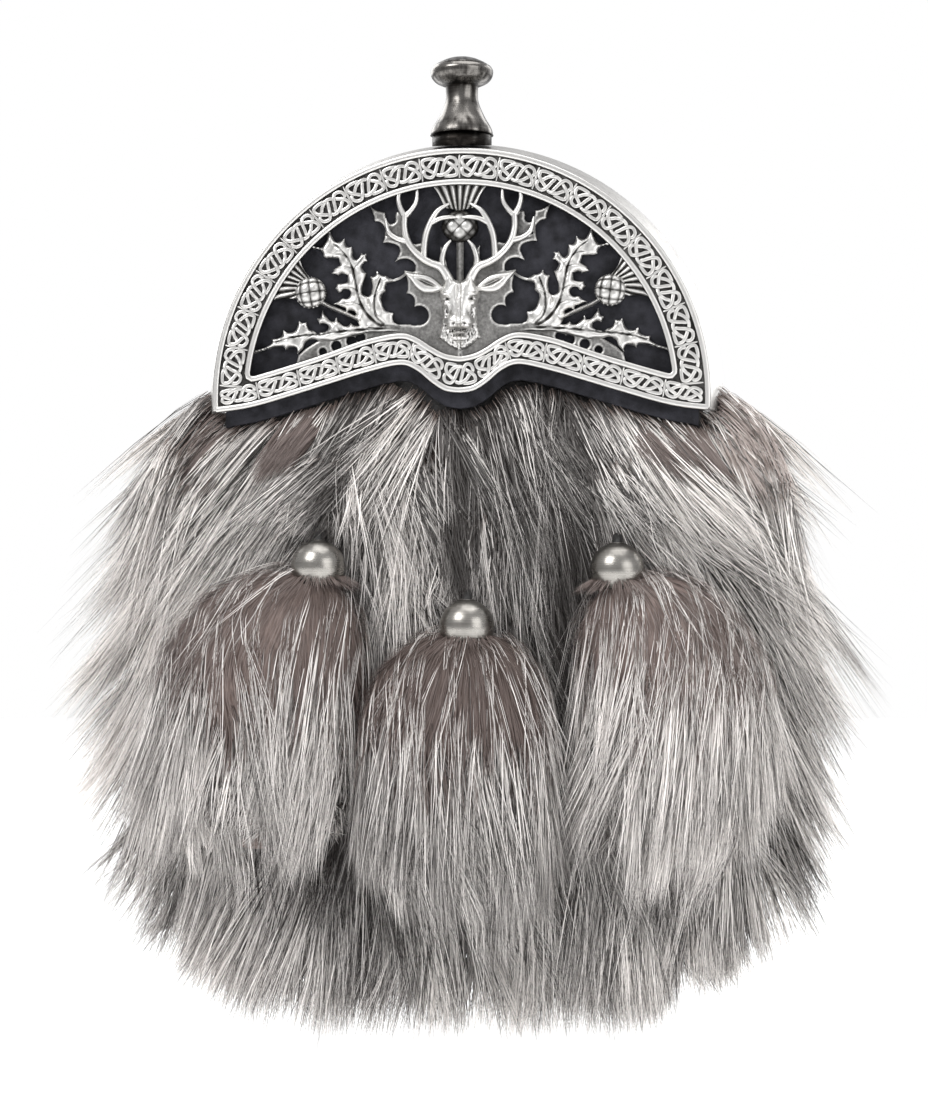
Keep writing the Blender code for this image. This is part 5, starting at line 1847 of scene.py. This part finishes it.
def centre_thistle_depth(points):
    half = left_half(points)
    fan = across_seam(to_shapes(half, CENTRE_FAN), points, 0.6, 12.0, 46.0, 0.0)
    fan = across_seam(fan, points, 0.6, 38.0, 45.0, 0.5)
    bulb = BULB_RADIUS - np.hypot(half[:, 0] - CENTRE_BULB[0], (half[:, 1] - CENTRE_BULB[1]) * 1.15)
    return np.max([fan, bulb, to_stroke(half, CENTRE_STEM)], axis=0)


def centre_thistle_surface(points, depth):
    half = left_half(points)
    from_bulb = half - CENTRE_BULB
    ring = np.hypot(from_bulb[:, 0], from_bulb[:, 1] * 1.15) / BULB_RADIUS
    scale = scales(from_bulb[:, 1], from_bulb[:, 0], BULB_RADIUS)
    bulb = 33.3 + 1.7 * np.sqrt(unit(1.0 - ring ** 2)) + 0.5 * scale
    way = half - CENTRE_FOCUS
    rib = 0.5 + 0.5 * np.cos(np.arctan2(way[:, 0], way[:, 1]) * 36.0)
    fan = 33.6 + 0.8 * rib
    stem = 33.2 + 0.6 * unit(depth / 0.8)
    low = np.where(half[:, 1] > 36.0, fan, stem)
    on_bulb = ring < 1.0
    # Painted shade: the bulb's colour darkens towards its rim, where the dome turns away.
    painted_facing_shade = unit(1.35 - 1.25 * ring)
    worn = np.where(half[:, 1] > 36.0, 0.05 + 0.95 * rib, 0.38)
    height = np.where(on_bulb, np.maximum(bulb, low), low)
    return height, np.where(on_bulb, painted_facing_shade * (0.1 + 0.95 * scale), worn)


relief("centre_thistle", centre_thistle_depth, centre_thistle_surface, (-9.0, 13.0, 9.0, 45.5), 0.22)

# %% Low plates between the antlers, the ears and the face
UPPER_PLATE = on_middle((
    (222, 190, 0), (262, 228, 5), (338, 255, 0), (345, 300, 0), (350, 400, 0), (420, 420, 0),
    (470, 420, 0), (500, 445, 8), (560, 450, 8), (590, 440, 0), (600, 540, 0), (640, 570, 14),
    (690, 545, 0), (685, 452, 6), (708, 490, 0), (750, 690, 0), (700, 740, 0), (560, 650, 0),
    (528, 636, 0), (530, 590, 10), (470, 548, 10), (388, 582, 4), (432, 505, 14), (395, 455, 6),
    (320, 449, 6), (335, 385, 10), (318, 325, 6), (266, 310, 6), (262, 265, 6)))
FORK_PLATE = on_middle((
    (350, 300, 0), (420, 250, 0), (470, 280, 0), (470, 430, 0), (400, 420, 0), (350, 380, 0)))
LOWER_PLATE = on_middle((
    (455, 622, 0), (600, 640, 0), (740, 680, 0), (812, 690, 0), (812, 1195, 0), (700, 1165, 0),
    (520, 1062, 0), (300, 1052, 0), (100, 1115, 0), (-100, 1180, 0), (-230, 1215, 0), (-214, 1150, 0),
    (-166, 1108, 0), (-80, 1055, 0), (-80, 1010, 0), (100, 985, 0), (300, 968, 0), (415, 962, 0),
    (500, 962, 4), (540, 968, 0), (560, 940, 0), (580, 906, 0), (560, 880, 0), (520, 858, 4),
    (524, 800, 10), (472, 766, 4), (482, 722, 8)))
PLATE_HOLES = np.vstack([on_middle(((553, 906, 60),)),
                         on_side(((865, 1050, 29), (967, 1005, 37), (1082, 970, 38), (1150, 943, 36)))])
TOP_HOLE = on_middle(((372, 268, 34), (378, 300, 28)))


def plate_depth(points):
    half = left_half(points)
    depth = to_shapes(half, UPPER_PLATE, FORK_PLATE, LOWER_PLATE)
    depth = across_seam(depth, points, 0.5, -7.0, 14.0, 0.5)
    return np.minimum(depth, -np.maximum(to_discs(half, PLATE_HOLES), to_discs(half, TOP_HOLE)))


def plate_surface(_, depth):
    edge = 1.0 - np.exp(-depth / 0.35)
    return 33.2 + 0.5 * edge, 0.36 + 0.30 * np.exp(-((depth - 0.4) / 0.25) ** 2)


relief("low_plates", plate_depth, plate_surface, (-52.0, -10.0, 52.0, 40.0), 0.42)

# %% Antlers
TINES = (                                # x, down, height in front of the picture plane and width
    ((780, 762, 0.4, 44), (752, 700, 0.9, 50), (702, 615, 1.3, 46), (630, 582, 1.5, 40),
     (570, 545, 1.6, 38), (515, 490, 1.6, 36), (480, 430, 1.5, 38), (465, 350, 1.3, 34),
     (468, 275, 1.2, 36)),
    ((468, 290, 1.2, 34), (437, 228, 1.1, 28), (426, 165, 0.9, 24), (448, 104, 0.5, 15)),
    ((468, 290, 1.2, 34), (510, 245, 1.1, 26), (540, 190, 0.9, 24), (544, 104, 0.5, 14)),
    ((482, 445, 1.5, 36), (420, 428, 1.4, 28), (366, 385, 1.2, 26), (345, 298, 0.9, 10)),
    ((588, 565, 1.5, 36), (592, 470, 1.6, 34), (606, 390, 1.6, 34), (640, 310, 1.6, 32),
     (682, 250, 1.5, 26), (746, 211, 1.2, 12)),
    ((624, 340, 1.6, 28), (680, 310, 1.7, 26), (740, 298, 1.8, 22), (794, 299, 1.8, 11)),
    ((715, 640, 1.2, 36), (703, 565, 1.4, 30), (722, 490, 1.6, 26), (758, 442, 1.5, 11)),
)


def antler_paths():
    paths = []
    for rows in TINES:
        rows = np.array(rows, dtype=float)
        drawn = on_middle(rows[:, (0, 1, 3)] * (1.0, 1.0, 1.22))
        spine = smooth_path(np.column_stack([drawn[:, :2], PLATE_BACK + 1.6 + rows[:, 2], drawn[:, 2]]), 5)
        paths += [(spine, False), (spine * (-1.0, 1.0, 1.0, 1.0), False)]
    return paths


sweep("antlers", antler_paths(), ROD_SECTION, pewter)

# %% [markdown]
# ## Cantle: the stag's face
#
# The face is a small carving, seen from the front. It is built up like clay: each lump is a dome
# or a ridge with its own height, and the highest lump wins, with a soft join. Eyes, nostrils and
# mouth are pressed in. Where no lump rises, at the neck, the surface is rough like a ruff.

# %% Face and ears
EAR = on_middle(((460, 634, 0), (530, 643, -3), (612, 655, -3), (668, 690, -3), (712, 738, 0), (690, 757, 0),
                 (640, 770, 0), (590, 768, -3), (548, 742, -3), (508, 694, -2)))
EAR_HOLLOW = on_middle(((530, 672, 10), (570, 690, 34), (610, 708, 44), (650, 724, 30), (680, 735, 10)))
FACE = np.array((                        # x, z and bite, clockwise from the crown of the head
    (-3, 17.2, 0), (-1.9, 15.6, 0), (-0.9, 14.7, 0), (0, 14.4, 0), (0, -6, 0), (-1.7, -5.7, 0),
    (-3.4, -4.6, 0), (-5, -3.3, 0), (-6.5, -2.2, 0.2), (-5.9, 0, 0.1), (-5.2, 3, 0.1), (-5, 5.8, 0),
    (-5.3, 8, 0.2), (-6.1, 10, 0), (-6.2, 11.4, 0.1), (-5.2, 12.8, 0), (-4.8, 15, 0), (-4.6, 16.8, 0),
))
LUMPS = (                                # x, z, half-width, half-height and rise
    (0, 11.8, 6.4, 4.8, 2.6), (0, 8.8, 4.8, 5.4, 3), (0, 6, 3, 5.4, 3.5), (0, 2.7, 4.5, 2.6, 3.5),
    (0, 2.3, 2.3, 1.5, 4), (-4.1, 10.6, 1.9, 0.9, 3), (-4, 8.1, 1.6, 1.2, 2.3), (-2.3, 1.1, 1.7, 1, 3.3),
    (0, -0.85, 2.2, 0.55, 3), (0, -2.6, 2.6, 1, 2), (-3.2, 15, 1.6, 2.8, 2.4),
)
DENTS = (                                # x, z, half-width, half-height and depth
    (-3.6, 9.3, 0.72, 0.42, 0.9), (-1.6, 1.85, 0.5, 0.36, 0.7), (0, 0.25, 2.4, 0.26, 0.45),
    (0, -1.75, 2, 0.22, 0.4), (-3.9, 5.4, 0.36, 2.2, 0.3), (0, 11, 0.28, 1.1, 0.2),
    (0, 5.9, 0.3, 0.5, 0.2),
)


def dome(half, row):
    x, z, wide, tall, rise = row
    ring = ((half[:, 0] - x) / wide) ** 2 + ((half[:, 1] - z) / tall) ** 2
    return rise * np.sqrt(unit(1.0 - ring))


def face_depth(points):
    half = left_half(points)
    face = across_seam(to_shapes(half, FACE), points, 0.5, -6.0, 14.0, 2.0)
    return np.maximum(face, to_shapes(half, EAR))


def face_surface(points, depth):
    half = left_half(points)
    lumps = np.array([dome(half, row) for row in LUMPS])
    head = np.log(np.sum(np.exp(lumps * 3.0), axis=0)) / 3.0 - math.log(len(LUMPS)) / 3.0
    pressed = np.sum([deep * np.exp(-((half[:, 0] - x) / wide) ** 2 - ((half[:, 1] - z) / tall) ** 2)
                      for x, z, wide, tall, deep in DENTS], axis=0)
    fine = np.array([noise.noise(Vector((x * 1.6, z * 1.1, 3.0))) for x, z in points])
    coat = np.array([noise.noise(Vector((x * 2.6, z * 1.2, 9.0))) for x, z in points])
    neck = 1.0 - unit(lumps.max(axis=0) / 1.2)
    edge = np.exp(-((depth - 0.45) / 0.45) ** 2)
    rounded = 1.0 - np.exp(-np.minimum(depth, 3.0) / 0.6)
    face = PLATE_BACK + 1.5 + 1.3 * rounded + head + 0.30 * neck * coat - pressed + 0.05 * fine
    hollow = unit(to_stroke(half, EAR_HOLLOW) / 0.7)
    fibres = np.sin((half[:, 0] * 0.45 + half[:, 1]) * 9.0)
    ear = PLATE_BACK + 2.1 + 0.9 * (1.0 - np.exp(-depth / 0.4)) - 0.9 * hollow + 0.10 * hollow * fibres
    on_ear = to_shapes(half, EAR) > 0.0
    ear_worn = 0.95 - 0.65 * hollow + 0.25 * hollow * fibres
    face_worn = 0.92 - 0.95 * pressed + 0.30 * fine + neck * (0.55 * edge + 0.9 * coat - 0.34)
    return np.where(on_ear, ear, face), np.where(on_ear, ear_worn, face_worn)


relief("stag_head", face_depth, face_surface, (-18.0, -7.0, 18.0, 19.0), 0.20)

# %% [markdown]
# ## Turned work: knob and balls
#
# The knob and the balls are turned, so each is a profile spun round an upright axis. They are
# darker than the cantle and satin, with fine turning lines, so they show a few soft highlights.
# Upright streaks of painted reflection run through their colour, strong on the knob and faint on
# the balls, and each ball's profile paints a highlight round its middle and shade at its top and
# underside.

# %% Turned pieces
def make_turned_metal(name, dark, bright, painted_reflection_streaks, roughness):
    material, tree, shader = new_material(name, Metallic=1.0)
    place = place_on_piece(tree)
    rings = add(tree, "ShaderNodeMapping", {}, {"Vector": place, "Scale": (0.02, 0.02, 1.0)})
    line = noise_at(tree, rings, 2600.0, 3.0)
    upright = add(tree, "ShaderNodeMapping", {}, {"Vector": place, "Scale": (1.0, 1.0, 0.12)})
    stain = noise_at(tree, place, 190.0, 4.0)
    # Painted reflection: upright streaks in the colour stand for the bright and dark streaks that the room
    # reflects.
    streak = noise_at(tree, upright, 520.0)
    marks_and_painted_streaks = 0.5 * (stain - 0.5) + 0.4 * (line - 0.5) + painted_reflection_streaks * (streak - 0.5)
    worn = (relief_of(tree) + marks_and_painted_streaks).between(0.1, 0.9)
    feed(tree, shader["Base Color"], mixed(worn, dark, bright))
    feed(tree, shader["Roughness"], roughness - 0.20 * worn)
    bumped(tree, shader, line, 0.25, 0.08 * MM)
    return material


TURNED_STEPS = 56                        # round the axis
AXIS_RADIUS = 0.02                       # rings smaller than this close to one point


def turned(name, rows, centre, material, node):
    """Profile rows of radius, height and relief, spun round an upright axis."""
    bm = bmesh.new()
    layer = bm.verts.layers.float.new("relief")
    rings = []
    for radius, height, worn in smooth_path(rows, 4):
        ring = []
        for k in range(TURNED_STEPS if radius >= AXIS_RADIUS else 1):
            angle = math.tau * k / TURNED_STEPS
            out = max(radius, 0.0) * np.array((math.cos(angle), math.sin(angle), 0.0))
            ring.append(bm.verts.new((np.array(centre) + out + (0.0, 0.0, height)) * MM))
            ring[-1][layer] = float(unit(worn))
        rings.append(ring)
    for one, two in zip(rings, rings[1:]):
        if len(one) == 1 and len(two) == 1:
            continue
        for k in range(TURNED_STEPS):
            n = (k + 1) % TURNED_STEPS
            face = [one[k % len(one)], one[n % len(one)], two[n % len(two)], two[k % len(two)]]
            bm.faces.new(list(dict.fromkeys(face)))
    piece = linked(name, mesh_of(name, bm, material))
    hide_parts(node)
    return cast(piece)


KNOB_Y = -26.9
KNOB_PROFILE = (                         # radius, height and relief, top to bottom
    (0, 83.8, 0.6), (3.6, 83.4, 0.6), (6.4, 82.3, 0.6), (7.9, 81.45, 0.5), (8.25, 80.95, 0),
    (8.75, 80.9, 0.8), (9.4, 80, 0.9), (9.55, 79.1, 0.6), (9.2, 77.6, 0.5), (8, 76.2, 0.5),
    (6.2, 75.3, 0.4), (5.1, 74.8, 0.1), (4.95, 74.2, 0.3), (4.9, 71.5, 0.6), (5.3, 69.5, 0.6),
    (6.2, 67.3, 0.7), (7.2, 65.2, 0.7), (8.4, 63.2, 0.5), (9.1, 61.8, 0.5), (9.4, 60.7, 0.5),
    (9.3, 60.1, 0.2), (8.9, 59.9, 0), (0, 59.9, 0),
)
# Relief by angle on a ball: a painted highlight round the middle with a turning line just above it, and
# painted shade and reflection that darken the top and the underside.
BALL_WAIST_AND_PAINTED_LIGHT = ((-0.7, 0.2), (-0.4, 0.65), (0.0, 0.8), (0.12, 0.62), (0.24, 0.75), (0.9, 0.6), (1.2, 0.4))
BALL_PROFILE = [(0.0, 8.1, 0.0), (1.2, 7.9, 0.1), (1.8, 8.0, 0.8), (2.3, 7.7, 0.3)] + [
    (CAP_RADIUS * math.cos(a), CAP_RADIUS * math.sin(a), float(np.interp(a, *np.transpose(BALL_WAIST_AND_PAINTED_LIGHT))))
    for a in np.linspace(1.2, -0.7, 13)] + [(5.7, -5.5, 0.0), (0.0, -5.6, 0.0)]
turned_metal = make_turned_metal("satin_dark_pewter", (0.045, 0.040, 0.036), (0.36, 0.345, 0.32), 0.3, 0.46)
knob_metal = make_turned_metal("knob_pewter", (0.016, 0.014, 0.0125), (0.20, 0.19, 0.178), 1.7, 0.40)
turned("knob_turned", KNOB_PROFILE, (0.0, KNOB_Y, 0.0), knob_metal, "knob")
for tassel, (cap_x, cap_z, *_, middle_y) in TASSELS.items():
    turned(f"tassel_{tassel}_ball", BALL_PROFILE, (cap_x, middle_y - CAP_AHEAD, cap_z), turned_metal,
           f"tassel_{tassel}_cap")

# %% [markdown]
# ## Leather, staples and thongs
#
# The pouch and the two back panels are black leather with a fine grain, and the backing behind
# the openwork is soft like suede. Plain parts keep the solid's own shape. The backing, the panels
# and the staples get rounded edges; the pouch and the knob's collar need none.

# %% Leather and small metal
def make_leather(name, dark, light, size, roughness, shine, depth):
    """Leather with grain cells of 1 / size metres; depth is how deep the grain goes, in mm."""
    material, tree, shader = new_material(name, Roughness=roughness, Specular_IOR_Level=shine)
    place = place_on_piece(tree)
    grain = add(tree, "ShaderNodeTexVoronoi", {}, {"Vector": place, "Scale": size})
    nap = noise_at(tree, place, 260.0, 5.0)
    cloud = noise_at(tree, place, 45.0)
    feed(tree, shader["Base Color"], mixed((nap * 0.6 + cloud * 0.4).between(0.3, 0.7), dark, light))
    bumped(tree, shader, grain + 0.6 * nap, 0.6, depth * MM)
    return material


def eased_copy(name, node, width, material, slot):
    """Copy of a plain piece of the frame, its sharp edges rounded if a width is given."""
    bm = merged(node)
    if width > 0.0:
        sharp = [edge for edge in bm.edges if len(edge.link_faces) == 2 and edge.calc_face_angle(0.0) > 0.7]
        bmesh.ops.bevel(bm, geom=sharp, offset=width * MM, segments=2, profile=0.5, affect="EDGES",
                        clamp_overlap=True)
    mesh = mesh_of(name, bm, material)
    if slot == "pewter":
        store_relief(mesh, 0.55)
    piece = linked(name, mesh)
    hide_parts(node)
    return cast(piece)


suede = make_leather("black_suede", (0.005, 0.005, 0.0065), (0.031, 0.031, 0.038), 2600.0, 0.80, 0.22, 0.10)
hide = make_leather("black_hide", (0.008, 0.0075, 0.007), (0.019, 0.018, 0.0175), 900.0, 0.52, 0.40, 0.30)
for node, width, material in (("cantle_backing", 0.35, suede), ("pouch", 0.0, hide),
                              ("back_yoke", 0.35, hide), ("back_panel", 0.35, hide)):
    eased_copy(node + "_leather", node, width, material, "black_leather")
for side in ("left", "right"):
    eased_copy(f"strap_staple_{side}_bright", f"strap_staple_{side}", 0.3, pewter, "pewter")
eased_copy("knob_collar_turned", "knob_collar", 0.0, knob_metal, "dark_pewter")

# %% [markdown]
# ## Back: the pelt's turned edge and the seams
#
# Behind the hair the skin of the pelt is turned over and glued down round the pouch, which shows
# as a soft brown border. The two back panels are sewn round their edges with waxed thread. A
# stitch is one small bead, and Geometry Nodes lays copies of it in a row along the seam.

# %% Turned edge of the pelt
SKIN_SHARE = 0.80                        # of the pelt's outer form
SKIN_TOP = -29.0
SKIN_REAR, SKIN_FRONT = 5.15, 6.2        # distances in front of the strap's plane


def make_skin_material():
    material, tree, shader = new_material("turned_skin", Roughness=0.9, Specular_IOR_Level=0.15)
    place = place_on_piece(tree)
    nap = noise_at(tree, place, 900.0, 4.0)
    tone = (nap * 0.5 + noise_at(tree, place, 50.0) * 0.5).between(0.35, 0.65)
    feed(tree, shader["Base Color"], mixed(tone, (0.050, 0.040, 0.035), (0.105, 0.085, 0.074)))
    bumped(tree, shader, nap, 0.6, 0.15 * MM)
    return material


def add_turned_skin():
    """Border between the pouch's outline and the roots of the hair, open at the top."""
    z = np.linspace(SKIN_TOP, PELT_FORM[0, 0], 70)
    low = foot_drawn_up(z)
    left, right, *_ = form_at(z)
    inner_z = np.linspace(SKIN_TOP, POUCH_SIDE[0, 0] + 0.2, 70)
    inner = np.interp(inner_z, *POUCH_SIDE.T) - 0.5
    outside = np.vstack([np.column_stack([-left * SKIN_SHARE, low]),
                         np.column_stack([right * SKIN_SHARE, low])[::-1]])
    inside = np.vstack([np.column_stack([inner, inner_z]), np.column_stack([-inner, inner_z])[::-1]])
    piece = plate("pelt_turned_skin", (np.vstack([outside, inside]),), SKIN_FRONT, SKIN_REAR, 0.5,
                  make_skin_material())
    return cast(piece)


add_turned_skin()

# %% Geometry Nodes tree for stitches
STITCH_LONG = 2.5
STITCH_THICK = 0.55
STITCH_GAP = 3.3
SEAM_INSET = 3.2
SEAM_Y = -2.95


def make_bead():
    """Closed bead of 36 faces that lies along X: five rings of six points and a point at each end."""
    points = [(-0.5 * STITCH_LONG, 0.0, 0.0)]
    for x, r in ((-0.46, 0.25), (-0.34, 0.44), (0.0, 0.5), (0.34, 0.44), (0.46, 0.25)):
        points += [(x * STITCH_LONG, r * math.cos(a) * STITCH_THICK, r * math.sin(a) * STITCH_THICK)
                   for a in np.linspace(0.0, math.tau, 6, endpoint=False)]
    points.append((0.5 * STITCH_LONG, 0.0, 0.0))
    faces = [(0, 1 + (k + 1) % 6, 1 + k) for k in range(6)]
    for ring in range(4):
        base = 1 + 6 * ring
        faces += [(base + k, base + (k + 1) % 6, base + 6 + (k + 1) % 6, base + 6 + k) for k in range(6)]
    faces += [(25 + k, 25 + (k + 1) % 6, 31) for k in range(6)]
    mesh = bpy.data.meshes.new("bead")
    mesh.from_pydata([tuple(v * MM for v in point) for point in points], [], faces)
    mesh.shade_smooth()
    return bpy.data.objects.new("bead", mesh)


def make_stitch_tree():
    """Group that lays beads along seams, one every gap."""
    tree, seams, bead, gap, thread = new_tree("stitches_on_seams", Seams="Geometry", Bead="Object",
                                              Gap="Float", Thread="Material")
    line = add(tree, "GeometryNodeMeshToCurve", {}, {"Mesh": seams})
    even = add(tree, "GeometryNodeResampleCurve", {"mode": "LENGTH"}, {"Curve": line, "Length": gap})
    along = add(tree, "GeometryNodeInputTangent")
    turned_to = add(tree, "FunctionNodeAlignRotationToVector", {"axis": "X"}, {"Vector": along})
    shape = add(tree, "GeometryNodeObjectInfo", {}, {"Object": bead}, output=4)
    copies = add(tree, "GeometryNodeInstanceOnPoints", {},
                 {"Points": even, "Instance": shape, "Rotation": turned_to})
    return end_tree(tree, copies, thread)


# %% Seams round the back panels
def seam_of(node):
    """Loop just inside the outline of a flat, convex panel."""
    flat = points_of(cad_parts[node].data)[:, (0, 2)] / MM
    outline = flat[convex_hull_2d(flat.tolist())]
    after = np.roll(outline, -1, axis=0)
    area = np.sum(outline[:, 0] * after[:, 1] - after[:, 0] * outline[:, 1])
    outline = evenly(outline if area > 0.0 else outline[::-1], 1.0)
    inner = beside(outline, SEAM_INSET)
    gap = np.linalg.norm(inner[:, None] - outline[None], axis=2).min(axis=1)
    return eased(inner[gap > 0.97 * SEAM_INSET], 3)


def add_seams():
    thread, tree, shader = new_material("waxed_thread", Roughness=0.55, Specular_IOR_Level=0.4)
    strands = add(tree, "ShaderNodeTexWave", {},
                  {"Vector": place_on_piece(tree), "Scale": 900.0, "Distortion": 2.0})
    feed(tree, shader["Base Color"], mixed(strands, (0.060, 0.056, 0.050), (0.150, 0.140, 0.125)))
    points, edges = [], []
    for node in ("back_yoke", "back_panel"):
        start = len(points)
        points += [(x * MM, SEAM_Y * MM, z * MM) for x, z in seam_of(node)]
        edges += [(k, k + 1) for k in range(start, len(points) - 1)] + [(len(points) - 1, start)]
    mesh = bpy.data.meshes.new("seams")
    mesh.from_pydata(points, edges, [])
    piece = node_result("back_seam_stitches", mesh, make_stitch_tree(),
                        {"Bead": make_bead(), "Gap": STITCH_GAP * MM, "Thread": thread})
    piece.data.shade_smooth()
    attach(piece, "root")
    print("stitches:", len(piece.data.vertices) // 32)


add_seams()

# %% Thongs
THONG_WIDTH = 3.0


def add_thong(name):
    """Cord from the ball's top, back through the fur to the front of the pouch."""
    cap_x, cap_z, *_, middle_y = TASSELS[name]
    ahead = CAP_AHEAD - middle_y
    route = ((cap_z + 5.0, ahead), (cap_z + 7.6, ahead - 0.8), (cap_z + 9.4, ahead - 4.5),
             (cap_z + 9.6, ahead - 12.0), (cap_z + 9.4, 29.6))
    path = smooth_path([(cap_x, z, forward, THONG_WIDTH) for z, forward in route], 6)
    piece = sweep(f"tassel_{name}_cord", [(path, False)], ROD_SECTION, hide)
    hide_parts(f"tassel_{name}_thong")


for tassel in TASSELS:
    add_thong(tassel)
